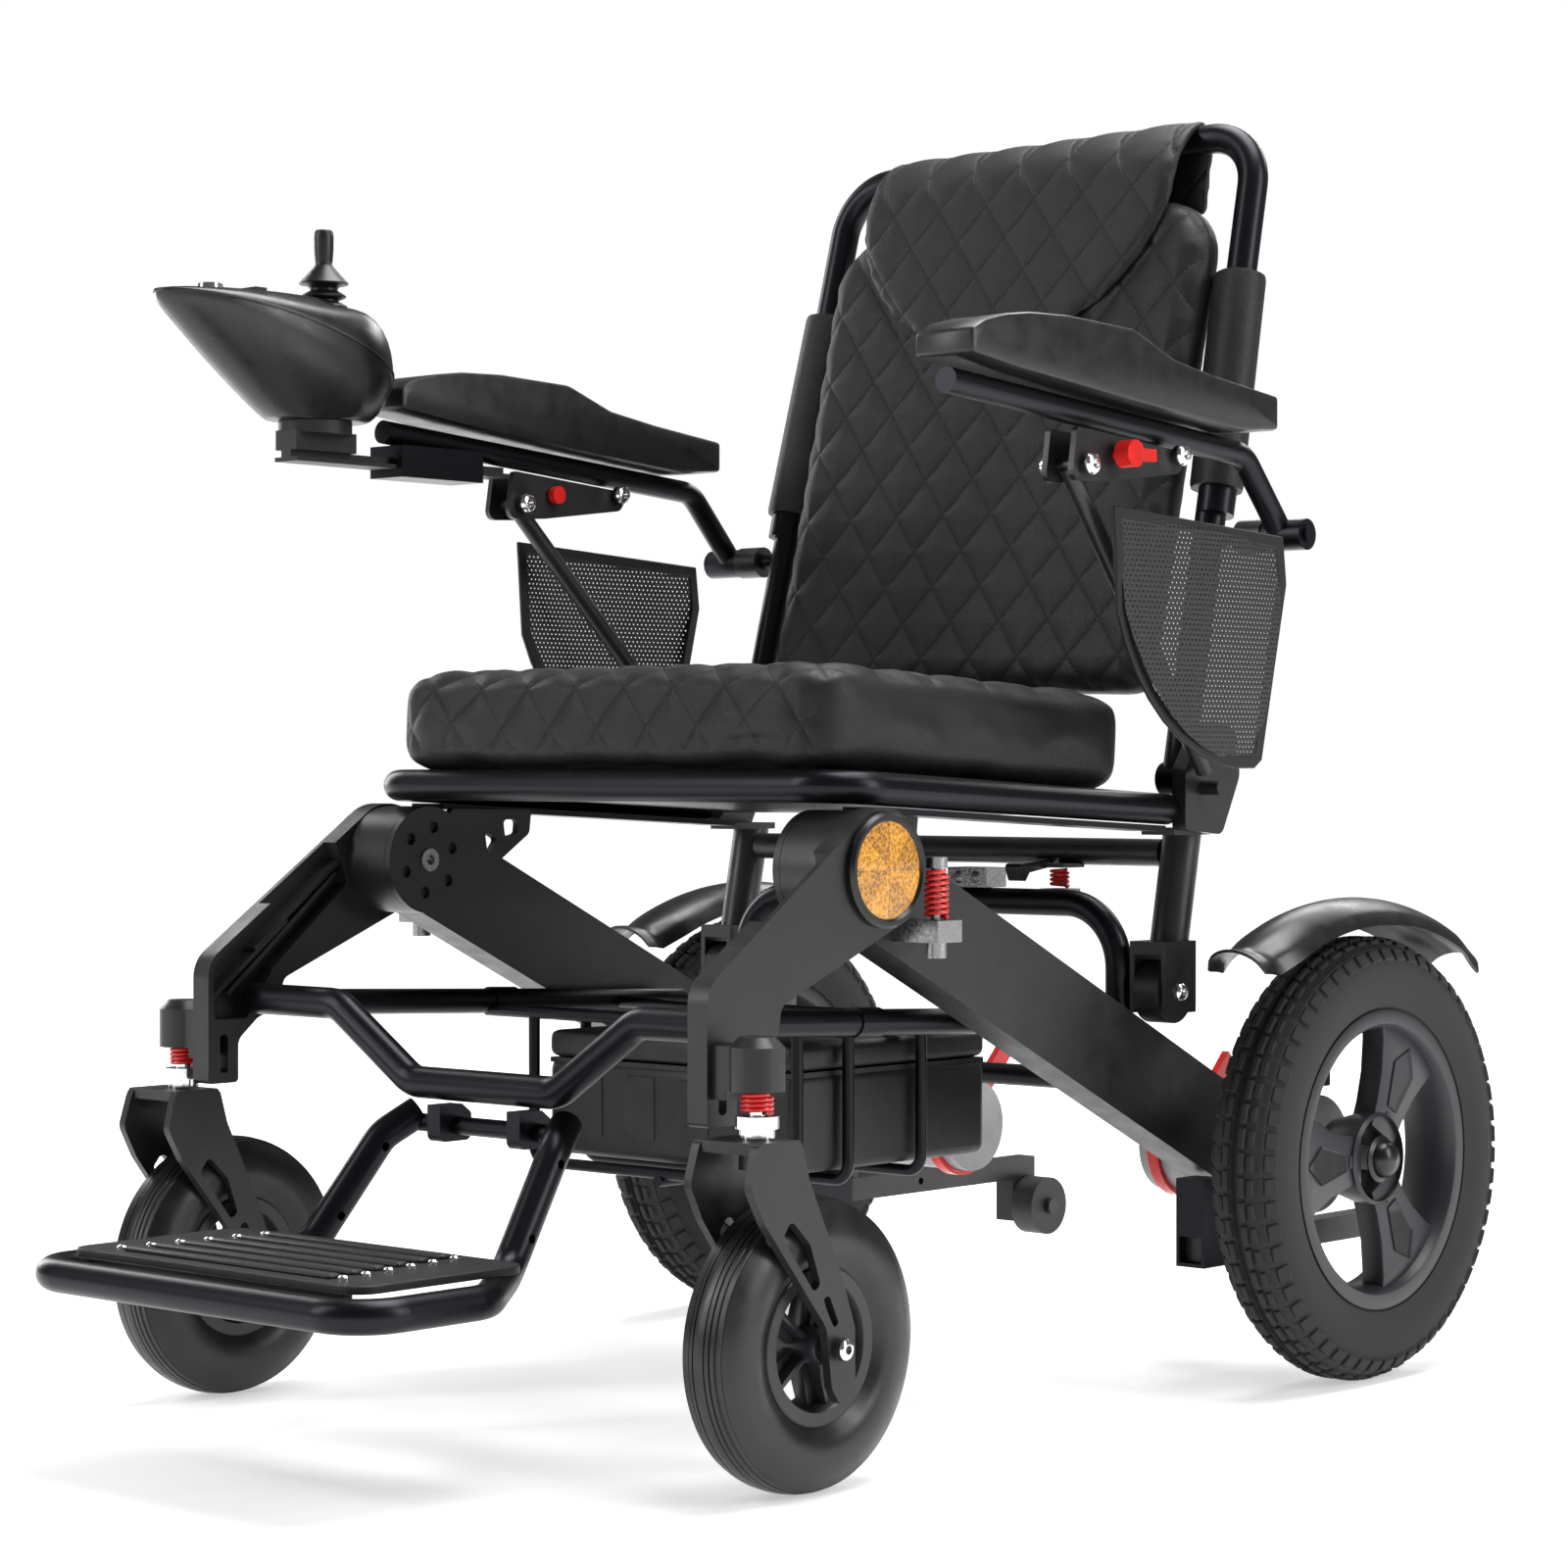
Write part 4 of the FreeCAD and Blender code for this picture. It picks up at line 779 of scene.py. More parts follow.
@dataclass
class Seat:
    """The seat: a thick quilted cushion on its bent-tube frame."""

    corner: float = 0.034
    rim: float = 0.012
    inset: float = 0.003
    rise: float = math.radians(3.0)

    def cushion(self) -> None:
        """The cushion: quilted on its top and front, plain on its sides and back."""
        low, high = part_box("seat_cushion")
        tilt = Matrix.Rotation(-self.rise, 4, "X")
        thick, run = 0.066, 0.342
        place = Matrix.Translation((0, middle("seat_cushion").y, (low.z + high.z) / 2)) @ tilt
        back = place.inverted()
        half = (high.x - self.inset, run / 2 - self.inset, thick / 2 - self.inset)
        work = Work()
        work.block([-h for h in half], half, 0, place)
        uprights = [e for e in work.bm.edges if abs((e.verts[0].co - e.verts[1].co).z) > thick * 0.7]
        work.soften(uprights, self.corner, 8)
        rims = [e for e in work.bm.edges if e.calc_face_angle(0) > 1.0]
        work.soften(rims, self.rim, 4)
        item = blank("quilted_seat_cushion", work)
        swell(item, 0.0048, 3.0, 0.006)

        def flat(point: Vector, normal: Vector) -> tuple[float, float, float]:
            """Unrolls the front and the top as one strip of cloth."""
            here, facing = back @ point, back.to_3x3() @ normal
            sewn = smooth_step(0.75, 0.5, abs(facing.x)) * smooth_step(-0.6, -0.2, facing.z)
            sewn *= 1 - smooth_step(0.5, 0.8, facing.y)
            return here.x, here.z + here.y, sewn

        def crown(point: Vector) -> float:
            """How far the top rises over the middle."""
            here = back @ point
            inward = max(0.0, 1 - (here.x / half[0]) ** 2) * max(0.0, 1 - (here.y / half[1]) ** 2)
            return inward ** 0.6 * smooth_step(0.0, half[2], here.z)

        for vert in item.data.vertices:
            vert.co.z += 0.003 * crown(vert.co)
        Quilting().sew(item, flat)
        dress(item, QUILTED, "seat", ["seat_cushion"])
        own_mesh(item)

    def build(self) -> None:
        """Makes the seat."""
        self.cushion()
        repaint(GLOSS_TUBE, "seat_frame")
        repaint(SATIN_CAST, "seat_brackets")


@dataclass
class Backrest:
    """The back: quilted cushion, head pad over the top bar, and tube sleeves."""

    lean: float = math.atan(0.25)
    half_width: float = 0.181
    bottom: float = 0.057
    top: float = 0.435
    front: float = -0.026
    rear: float = 0.005
    bar: float = 0.4855
    pad_half: float = 0.149
    pad_middle: float = 0.452
    pad_drop: float = 0.131

    @property
    def place(self) -> Matrix:
        """From the back's own upright frame, with its origin on the hinge, to the chair's."""
        return Matrix.Translation(joint_at("backrest_fold")) @ Matrix.Rotation(-self.lean, 4, "X")

    def cushion(self) -> None:
        """The back cushion."""
        place, back = self.place, self.place.inverted()
        work = Work()
        work.block((-self.half_width, self.front, self.bottom), (self.half_width, self.rear, self.top))
        tops = [e for e in work.bm.edges if abs((e.verts[0].co - e.verts[1].co).y) > 0.02
                and e.verts[0].co.z > self.top - 0.01]
        feet = [e for e in work.bm.edges if abs((e.verts[0].co - e.verts[1].co).y) > 0.02
                and e.verts[0].co.z < self.bottom + 0.01]
        work.soften(tops, 0.046, 10)
        work.soften(feet, 0.016, 4)
        rims = [e for e in work.bm.edges if e.calc_face_angle(0) > 1.0]
        work.soften(rims, 0.010, 4)
        bmesh.ops.transform(work.bm, matrix=place, verts=work.bm.verts)
        item = blank("quilted_back_cushion", work)
        swell(item, 0.0048, 3.0, 0.004)

        def flat(point: Vector, normal: Vector) -> tuple[float, float, float]:
            """The front face, across and up."""
            here, facing = back @ point, back.to_3x3() @ normal
            return here.x, here.z, smooth_step(-0.1, -0.55, facing.y)

        Quilting().sew(item, flat)
        dress(item, QUILTED, "backrest", ["back_cushion"])
        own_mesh(item)

    def drape(self, along: float) -> Vector:
        """A point on the head pad's middle surface, in the back's frame.

        Args:
            along: height up the front flap, and then distance on over the bar and down behind it.
        """
        turn_in, roll, wrap = 0.447, 0.058, 0.0165
        front = -0.0345
        if along <= turn_in:
            return Vector((0, front, along))
        if along <= turn_in + roll:
            share = (along - turn_in) / roll
            ease = (smooth_step(0, 1, share) + share * share) / 2
            climb = (self.bar + wrap - turn_in) * math.sin(share * math.pi / 2)
            return Vector((0, front * (1 - ease), turn_in + climb))
        rest = along - turn_in - roll
        quarter = wrap * math.pi / 2
        if rest <= quarter:
            angle = rest / wrap
            return Vector((0, wrap * math.sin(angle), self.bar + wrap * math.cos(angle)))
        return Vector((0, wrap, self.bar - (rest - quarter)))

    def head_pad(self) -> None:
        """The head pad: one padded sheet draped over the top bar, with an oval lower edge."""
        place, back = self.place, self.place.inverted()
        columns, rows = 76, 80
        tail = 0.447 + 0.058 + 0.0165 * math.pi / 2 + 0.055
        work = Work()
        verts = bmesh.ops.create_grid(work.bm, x_segments=columns, y_segments=rows, size=1.0)["verts"]
        for vert in verts:
            across, share = vert.co.x, (vert.co.y + 1) / 2
            spread_out = math.copysign(abs(across) ** 0.9, across)
            oval = math.sqrt(max(0.0, 1 - min(1.0, abs(spread_out) * 0.985) ** 2))
            low = self.pad_middle - self.pad_drop * oval
            point = self.drape(low + (tail - low) * share)
            point.x = self.pad_half * spread_out
            vert.co = point
        bmesh.ops.recalc_face_normals(work.bm, faces=work.bm.faces)
        bmesh.ops.solidify(work.bm, geom=work.bm.faces[:], thickness=0.008)
        bmesh.ops.transform(work.bm, matrix=place, verts=work.bm.verts)
        item = blank("quilted_head_pad", work)
        swell(item, 0.0042, 2.0, 0.0022, soften=6)

        def flat(point: Vector, normal: Vector) -> tuple[float, float, float]:
            """The outer side, across and along the drape."""
            here, facing = back @ point, back.to_3x3() @ normal
            outward = max(-facing.y, facing.z)
            return here.x, here.z - here.y, smooth_step(0.3, 0.7, outward)

        Quilting(depth=0.0016).sew(item, flat)
        dress(item, QUILTED, "backrest", ["head_pad"])

    def sleeve(self, side: Side) -> None:
        """A leatherette sleeve that wraps the tube and reaches to the cushion."""
        low, high, reach = 0.213, 0.375, 0.0172
        track = 0.2055
        rings = []
        for share in (0.0, 0.02, 0.25, 0.5, 0.75, 0.98, 1.0):
            swell_out = reach * (0.965 if share in (0.0, 1.0) else 1.0)
            z = low + (high - low) * share
            x = track - 0.0115 * (z - 0.208) / 0.28
            ring = []
            for step in range(40):
                angle = 2 * math.pi * step / 40
                out = Vector((math.cos(angle) * swell_out, math.sin(angle) * swell_out, 0))
                if out.x < -0.2 * reach:
                    out.x *= 1.0 + 0.35 * smooth_step(-0.2 * reach, -reach, out.x)
                ring.append(Vector((side.value * (x + out.x), out.y, z)))
            rings.append(ring)
        work = Work()
        made = work.loft(rings)
        bmesh.ops.transform(work.bm, matrix=self.place, verts=made)
        work.piece(f"tube_sleeve_{side.word}", PLAIN_HIDE, "backrest", sharp=50)

    def build(self) -> None:
        """Makes the backrest."""
        self.cushion()
        self.head_pad()
        for side in Side:
            self.sleeve(side)
        repaint(GLOSS_TUBE, "back_frame")


# ---------------------------------------------------------------- wheels


@dataclass
class DriveWheel:
    """A drive wheel: block-treaded tyre and a three-spoke rim."""

    side: Side
    radius: float = 0.157
    half: float = 0.0265
    bead: float = 0.105
    rows: int = 58

    @property
    def centre(self) -> Vector:
        """The wheel's centre."""
        return middle(f"rear_tyre_{self.side.word}")

    @property
    def body(self) -> str:
        """The body that the wheel is."""
        return f"{self.side.word}_drive_wheel"

    def tyre(self) -> None:
        """Casing with a groove round its middle, and rows of tread blocks."""
        casing = self.radius - 0.0035
        work = Work()
        half, bead = self.half, self.bead
        right = [(0.0022, casing - 0.003), (0.003, casing), (0.012, casing - 0.0008),
                 (0.019, casing - 0.0045), (0.0242, casing - 0.012), (half, casing - 0.023),
                 (half - 0.0006, casing - 0.034), (0.0225, bead + 0.006), (0.0215, bead + 0.0025),
                 (0.0205, bead + 0.003), (0.018, bead - 0.003)]
        profile = [(-x, r) for x, r in reversed(right)] + right
        work.spin(profile, self.centre, steps=96, loop=True)
        for row in range(self.rows):
            angle = 2 * math.pi * row / self.rows
            for hand in (1, -1):
                self.tread(work, angle + (hand - 1) * math.pi / 4 / self.rows, hand)
        work.piece(f"treaded_tyre_{self.side.word}", TYRE, self.body,
                   [f"rear_tyre_{self.side.word}"], sharp=38)

    def tread(self, work: Work, angle: float, hand: int) -> None:
        """One pitch of the tread on one side of the middle groove."""
        turn = Matrix.Translation(self.centre) @ Matrix.Rotation(angle, 4, "X")
        pitch = 2 * math.pi * self.radius / self.rows
        rounding = 0.0007
        blocks = (0.0062, 0.0044, 0.80), (0.0125, 0.0044, 0.62), (0.0182, 0.0046, 0.80)
        for index, (x, wide, share) in enumerate(blocks):
            roll = Matrix.Translation((hand * x, 0, self.radius - 0.0004 - 0.0022 * index ** 1.6))
            roll = roll @ Matrix.Rotation(hand * (0.02 + 0.16 * index), 4, "Y")
            work.block((-wide / 2, -pitch * share / 2, -0.004), (wide / 2, pitch * share / 2, 0.0), rounding,
                       turn @ roll, segments=1)
        lug = Matrix.Translation((hand * 0.0232, 0, self.radius - 0.0125))
        lug = turn @ lug @ Matrix.Rotation(hand * 0.95, 4, "Y")
        work.block((-0.0045, -pitch * 0.33, -0.003), (0.0045, pitch * 0.33, 0.0012), rounding, lug,
                   segments=1)

    def rim(self) -> None:
        """Rim band, hub and three broad spokes with a raised kite on each."""
        centre, sign = self.centre, self.side.value
        work = Work()
        lip = [(0.0215, 0.1055), (0.0222, 0.103), (0.0215, 0.0955), (0.019, 0.0935), (0.006, 0.0905)]
        inner = [(-x, r) for x, r in reversed(lip)]
        well = [(-0.0185, 0.1055), (-0.015, 0.1025), (0.015, 0.1025), (0.0185, 0.1055)]
        work.spin(lip + [(0.0, 0.0900)] + inner + well, centre, steps=96, loop=True)
        for step in range(3):
            turn = Matrix.Rotation(math.radians(90 + 120 * step), 4, "X")
            self.spoke(work, Matrix.Translation(centre) @ turn)
        hub = [(-0.018, 0.026), (0.002, 0.032), (0.0165, 0.0325), (0.0185, 0.030)]
        work.spin([(sign * x, r) for x, r in hub], centre, steps=48)
        work.piece(f"spoked_rim_{self.side.word}", RIM, self.body,
                   [f"rear_rim_{self.side.word}"], sharp=32)
        cap = Work()
        dome = [(0.0178, 0.0165), (0.0188, 0.0165), (0.0205, 0.0135), (0.0245, 0.0128), (0.0285, 0.010),
                (0.0305, 0.0055), (0.0311, 0.0004)]
        cap.spin([(sign * x, r) for x, r in dome], centre, steps=40)
        cap.piece(f"hub_cap_{self.side.word}", SHELL, self.body, sharp=40)

    def spoke(self, work: Work, place: Matrix) -> None:
        """One spoke, drawn pointing up and then turned into place."""
        sign = self.side.value
        near, far = sorted((sign * -0.004, sign * 0.0150))
        outline = [(-0.0165, 0.018), (0.0165, 0.018), (0.0185, 0.036), (0.0235, 0.056), (0.0335, 0.0780),
                   (0.0400, 0.0870), (0.0230, 0.0935), (0.0, 0.0960), (-0.0230, 0.0935), (-0.0400, 0.0870),
                   (-0.0335, 0.0780), (-0.0235, 0.056), (-0.0185, 0.036)]
        work.prism(outline, near, far, rim=0.0022, place=place)
        kite = [(-0.0060, 0.0385), (0.0060, 0.0385), (0.0135, 0.0700), (0.0, 0.0865), (-0.0135, 0.0700)]
        low, high = sorted((sign * 0.0145, sign * 0.0162))
        verts = work.prism(kite, low, high, place=place)
        outer = max({f for v in verts for f in v.link_faces},
                    key=lambda f: sign * f.calc_center_median().x * (1 if len(f.verts) == 5 else 0))
        bmesh.ops.inset_region(work.bm, faces=[outer], thickness=0.0014, depth=-0.0012)
        notch_low, notch_high = sorted((sign * 0.0145, sign * 0.0160))
        work.prism([(-0.0045, 0.0315), (0.0045, 0.0315), (0.0045, 0.0350), (-0.0045, 0.0350)], notch_low,
                   notch_high, rim=0.0005, place=place)

    def build(self) -> None:
        """Makes the wheel."""
        self.tyre()
        self.rim()


@dataclass
class Caster:
    """A sprung caster: ribbed tyre and five-window rim; its bright axle heads are made with the chassis."""

    side: Side
    radius: float = 0.089
    half: float = 0.0225
    bead: float = 0.0475

    @property
    def centre(self) -> Vector:
        """The wheel's centre."""
        return middle(f"caster_tyre_{self.side.word}")

    @property
    def body(self) -> str:
        """The body that the wheel is."""
        return f"{self.side.word}_caster_wheel"

    def tyre(self) -> None:
        """A round-shouldered tyre with fine ribs round its tread."""
        half, bead, top = self.half, self.bead, self.radius
        right = []
        for rib in range(4):
            x = 0.0012 + rib * 0.0036
            drop = 0.0105 * (x / half) ** 2.2
            right += [(x, top - drop), (x + 0.0026, top - drop - 0.0003), (x + 0.0029, top - drop - 0.0014),
                      (x + 0.0033, top - drop - 0.0014)]
        right += [(0.0178, top - 0.0085), (0.0205, top - 0.0145), (half, top - 0.0235),
                  (half - 0.0006, top - 0.0305), (0.0195, bead + 0.0055), (0.0165, bead + 0.0012),
                  (0.0150, bead - 0.0015)]
        profile = [(-x, r) for x, r in reversed(right)] + right
        work = Work()
        work.spin(profile, self.centre, steps=96, loop=True)
        work.piece(f"ribbed_caster_tyre_{self.side.word}", CASTER_TYRE, self.body,
                   [f"caster_tyre_{self.side.word}"], sharp=44)

    def rim(self) -> None:
        """Rim ring, long hub and spokes."""
        centre = self.centre
        work = Work()
        ring = [(0.0165, 0.0480), (0.0172, 0.0470), (0.0168, 0.0395), (0.0150, 0.0380), (0.004, 0.0362)]
        profile = ring + [(-x, r) for x, r in reversed(ring)] + [(-0.012, 0.0455), (0.012, 0.0455)]
        work.spin(profile, centre, steps=72, loop=True)
        hub = [(0.0205, 0.0054), (0.0205, 0.0098), (0.0190, 0.0108), (0.0130, 0.0112)]
        work.spin(hub + [(-x, r) for x, r in reversed(hub)], centre, steps=40, loop=True)
        for step in range(5):
            place = Matrix.Translation(centre) @ Matrix.Rotation(math.radians(72 * step + 54), 4, "X")
            arm = [(-0.0055, 0.008), (0.0055, 0.008), (0.0085, 0.0385), (-0.0085, 0.0385)]
            work.prism(arm, -0.0035, 0.0035, rim=0.001, place=place)
            work.block((-0.0125, -0.0016, 0.008), (0.0125, 0.0016, 0.0375), 0.0006, place)
        work.piece(f"windowed_rim_{self.side.word}", RIM, self.body,
                   [f"caster_rim_{self.side.word}"], sharp=32)

    def build(self) -> None:
        """Makes the caster's wheel."""
        self.tyre()
        self.rim()


# ---------------------------------------------------------------- controls and arms

STERN, PROW = 0.051, 0.1475


@dataclass
class Joystick:
    """Two-shell housing, bellows and knob."""

    facets: int = 64

    def plan(self, step: int) -> tuple[float, float]:
        """The housing's outline seen from above, about the stick: a round prow and a squarer stern."""
        angle = 2 * math.pi * step / self.facets
        across, along = math.cos(angle), math.sin(angle)
        power = 0.84 if along > 0 else 0.98
        wide = 0.0438 * math.copysign(abs(across) ** power, across)
        if along > 0:
            return wide * (1 - 0.10 * along), STERN * along ** power
        return wide * (1 - 0.05 * abs(along)), -PROW * abs(along) ** power

    def seam(self, along: float) -> float:
        """Height of the line where the shells meet, at a distance behind the stick."""
        share = (along + 0.148) / 0.199
        return 0.7575 - 0.0075 * share - 0.0435 * share ** 2.1

    def lid_height(self, along: float) -> float:
        """Height of the lid's crest at a distance behind the stick: high at the prow, low round the stick."""
        return 0.7575 + 0.0065 * smooth_step(-0.03, -0.13, along)

    def hull_ring(self, height: float) -> list[Vector]:
        """The lower shell from 0 at its foot to 1 at the seam."""
        x, stick = middle("joystick_cover").x, joint_at("stick_fore_aft").y
        shoulder = smooth_step(0.86, 1.0, height)
        reach = min(1.0, height / 0.9)
        ring = []
        for step in range(self.facets):
            wide, along = self.plan(step)
            foot_x = wide * 0.60
            foot_y = -0.0095 + (0.040 * along / STERN if along > 0 else 0.0395 * along / PROW)
            ease = math.sin(reach * math.pi / 2) ** (0.55 if along > 0 else 0.92)
            grow = reach ** (0.62 if along > 0 else 0.9)
            top = self.seam(along) - 0.0065 * (1 - shoulder)
            side = foot_x + (wide - foot_x) * ease
            length = foot_y + (along * (1 - 0.012 * (1 - shoulder)) - foot_y) * grow
            ring.append(Vector((x + side, stick + length, 0.6775 + (top - 0.6775) * reach)))
        return ring

    def lid_ring(self, share: float) -> list[Vector]:
        """The lid from 0 at the seam to 1 round the stick."""
        x, stick = middle("joystick_cover").x, joint_at("stick_fore_aft").y
        ring = []
        for step in range(self.facets):
            wide, along = self.plan(step)
            inward = 1 - math.cos(share * math.pi / 2)
            rise = math.sin(share * math.pi / 2) ** 0.9
            near_x, near_y = wide * 0.42, 0.020 * along / (STERN if along > 0 else PROW)
            low = self.seam(along)
            ring.append(Vector((x + wide + (near_x - wide) * inward,
                                stick + along + (near_y - along) * inward,
                                low + (self.lid_height(along) - low) * rise)))
        return ring

    def housing(self) -> None:
        """The glossy lower shell, the lid, and the thin gasket between them."""
        hull = Work()
        heights = 0.0, 0.02, 0.06, 0.14, 0.25, 0.38, 0.52, 0.66, 0.78, 0.86, 0.9, 0.93, 0.97, 1.0
        hull.loft([self.hull_ring(height) for height in heights])
        hull.piece("control_hull", SHELL, "joystick_housing", ["joystick_base"], sharp=50)
        lid = Work()
        lid.loft([self.lid_ring(share) for share in (0.0, 0.04, 0.1, 0.2, 0.32, 0.45, 0.6, 0.75, 0.9, 1.0)])
        lid.piece("control_lid", SHELL, "joystick_housing", ["joystick_cover"], sharp=50)
        gasket = Work()
        centre = Vector((middle("joystick_cover").x, joint_at("stick_fore_aft").y, 0))
        rings = []
        for out, drop in ((0.0, -0.0012), (0.0009, -0.0008), (0.0009, 0.0008), (0.0, 0.0012)):
            ring = []
            for point in self.hull_ring(1.0):
                away = Vector((point.x, point.y, 0)) - centre
                ring.append(point + away.normalized() * out + Vector((0, 0, drop)))
            rings.append(ring)
        gasket.loft(rings)
        gasket.piece("control_gasket", BOOT, "joystick_housing", sharp=60)

    def stick(self) -> None:
        """Bellows, skirt and knob, turned about the stick."""
        foot = joint_at("stick_fore_aft")
        profile = [(0.0080, 0.0100), (0.0100, 0.0165), (0.0112, 0.0170), (0.0124, 0.0160), (0.0150, 0.0105),
                   (0.0158, 0.0105), (0.0180, 0.0155), (0.0190, 0.0158), (0.0200, 0.0148), (0.0226, 0.0100),
                   (0.0240, 0.0098), (0.0262, 0.0120), (0.0272, 0.0172), (0.0280, 0.0176), (0.0290, 0.0166),
                   (0.0395, 0.0072), (0.0415, 0.0060), (0.0440, 0.0063), (0.0520, 0.0069), (0.0600, 0.0070),
                   (0.0640, 0.0068), (0.0655, 0.0060), (0.0662, 0.0004)]
        work = Work()
        work.spin(profile, foot, steps=48, axis="Z")
        work.piece("bellows_and_knob", BOOT, "joystick_stick", ["joystick_stick"], sharp=42)

    def panel(self) -> None:
        """The bright collar round the power button."""
        work = Work()
        button = middle("power_button")
        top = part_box("power_button")[1].z
        collar = [(-0.004, 0.0062), (-0.0012, 0.0064), (-0.0006, 0.0075), (-0.0012, 0.0088), (-0.004, 0.0092)]
        work.spin(collar, Vector((button.x, button.y, top + 0.0005)), steps=40, axis="Z", loop=True)
        work.piece("button_collar", CHROME, "joystick_housing")

    def build(self) -> None:
        """Makes the control."""
        self.housing()
        self.stick()
        self.panel()
        repaint(DULL, "joystick_rail", "joystick_gimbal", "speed_rocker")
        repaint(RED_KNOB, "power_button")


@dataclass
class Armrest:
    """Pad, pocket and bright bolts of one armrest."""

    side: Side

    @property
    def body(self) -> str:
        """The body of the tube and pad, which flip up."""
        return f"{self.side.word}_armrest"

    @property
    def hub(self) -> str:
        """The body of the bracket and pocket, which stay down."""
        return f"{self.side.word}_arm_hub"

    def pad(self) -> None:
        """A moulded foam pad, high in front and tapering to the rear."""
        low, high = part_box(f"arm_pad_{self.side.word}")
        nose, tail = low.y, high.y
        top = [(nose, 0.7060), (nose + 0.012, 0.7125), (nose + 0.034, 0.7180), (nose + 0.060, 0.7215),
               (nose + 0.100, 0.7230), (nose + 0.170, 0.7205), (0.060, 0.7045), (0.110, 0.6970),
               (tail, 0.6890)]
        under = [(tail, 0.6655), (tail - 0.045, 0.6620), (0.020, 0.6720), (-0.105, 0.6842), (nose, 0.6905)]
        work = Work()
        work.prism(top + under, low.x, high.x, corner=0.0030, rim=0.0060, corner_segments=3)
        work.piece(f"foam_arm_pad_{self.side.word}", PAD_SKIN, self.body,
                   [f"arm_pad_{self.side.word}"], sharp=40)

    def pocket_outline(self) -> list[tuple[float, float]]:
        """The pocket's edge as (y, z), with its rounded front corner."""
        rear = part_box(f"mesh_pocket_{self.side.word}")[1].y
        base = rear - 0.195
        points = [(base - 0.005, 0.6040), (rear - 0.004, 0.5930), (rear, 0.560), (rear - 0.030, 0.438)]
        sweep_y, sweep_z = rear - 0.050, 0.595
        for degree in range(0, 76, 8):
            angle = math.radians(-86 - degree)
            across = 0.160 - 0.004 * (degree / 80)
            points.append((sweep_y + across * math.cos(angle), sweep_z + 0.163 * math.sin(angle)))
        return points

    def pocket(self) -> None:
        """A net pocket that bellies outward, bound with tape."""
        low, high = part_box(f"mesh_pocket_{self.side.word}")
        x = middle(f"mesh_pocket_{self.side.word}").x
        outline = self.pocket_outline()
        work = Work()
        face = work.bm.faces.new([work.bm.verts.new((x, y, z)) for y, z in outline])
        face.normal_update()
        bmesh.ops.inset_region(work.bm, faces=[face], thickness=0.005, depth=0, use_boundary=True,
                               use_even_offset=True)
        bmesh.ops.delete(work.bm, geom=[f for f in work.bm.faces if f is not face], context="FACES")
        bmesh.ops.triangulate(work.bm, faces=work.bm.faces[:])
        for _ in range(4):
            bmesh.ops.subdivide_edges(work.bm, edges=work.bm.edges[:], cuts=1, use_grid_fill=True)
        centre = (low + high) / 2
        for vert in work.bm.verts:
            off = ((vert.co.y - centre.y) / 0.105) ** 2 + ((vert.co.z - centre.z) / 0.085) ** 2
            vert.co.x += self.side.value * 0.007 * max(0.0, 1 - off) ** 0.7
        bmesh.ops.solidify(work.bm, geom=work.bm.faces[:], thickness=0.0006)
        net = work.piece(f"net_pocket_{self.side.word}", NET, self.hub,
                         [f"mesh_pocket_{self.side.word}"], sharp=60)
        tape = Work()
        face = tape.bm.faces.new([tape.bm.verts.new((x - 0.0016, y, z)) for y, z in outline])
        face.normal_update()
        bmesh.ops.inset_region(tape.bm, faces=[face], thickness=0.0085, depth=0, use_boundary=True,
                               use_even_offset=True)
        bmesh.ops.delete(tape.bm, geom=[face], context="FACES")
        made = bmesh.ops.extrude_face_region(tape.bm, geom=tape.bm.faces[:])["geom"]
        outer = [v for v in made if isinstance(v, bmesh.types.BMVert)]
        bmesh.ops.translate(tape.bm, vec=(0.0032, 0, 0), verts=outer)
        edge = tape.piece(f"pocket_binding_{self.side.word}", BINDING, self.hub, sharp=50,
                          bevel=0.001)

    def bolts(self) -> None:
        """Bright domed heads on the bracket's two bolts, inside and outside."""
        work = Work()
        sign = self.side.value
        for y, z in ((-0.0248, 0.630), (0.076, 0.642)):
            for x, way in ((0.279, 1), (0.245, -1)):
                spot = Vector((sign * x, y, z))
                socket_head(work, spot, sign * way, 0.0072, 0.0045)
        work.piece(f"arm_bolts_{self.side.word}", CHROME, self.hub, sharp=30)

    def build(self) -> None:
        """Makes the armrest."""
        self.pad()
        self.pocket()
        self.bolts()
        word = self.side.word
        repaint(GLOSS_TUBE, f"arm_tube_{word}")
        repaint(SATIN_CAST, f"arm_bracket_{word}", f"arm_hub_{word}")
        repaint(RED_KNOB, f"arm_lock_{word}")


def socket_head(work: Work, spot: Vector, way: float, radius: float, height: float) -> None:
    """A domed screw head with a round socket, standing on a spot and facing along X."""
    dome = [(0.0, radius * 0.98), (height * 0.35, radius), (height * 0.75, radius * 0.86),
            (height, radius * 0.55), (height, radius * 0.42), (height * 0.45, radius * 0.40),
            (height * 0.45, 0.0002)]
    work.spin([(way * along, out) for along, out in dome], spot, steps=24)


# ---------------------------------------------------------------- frame, footrest and fittings


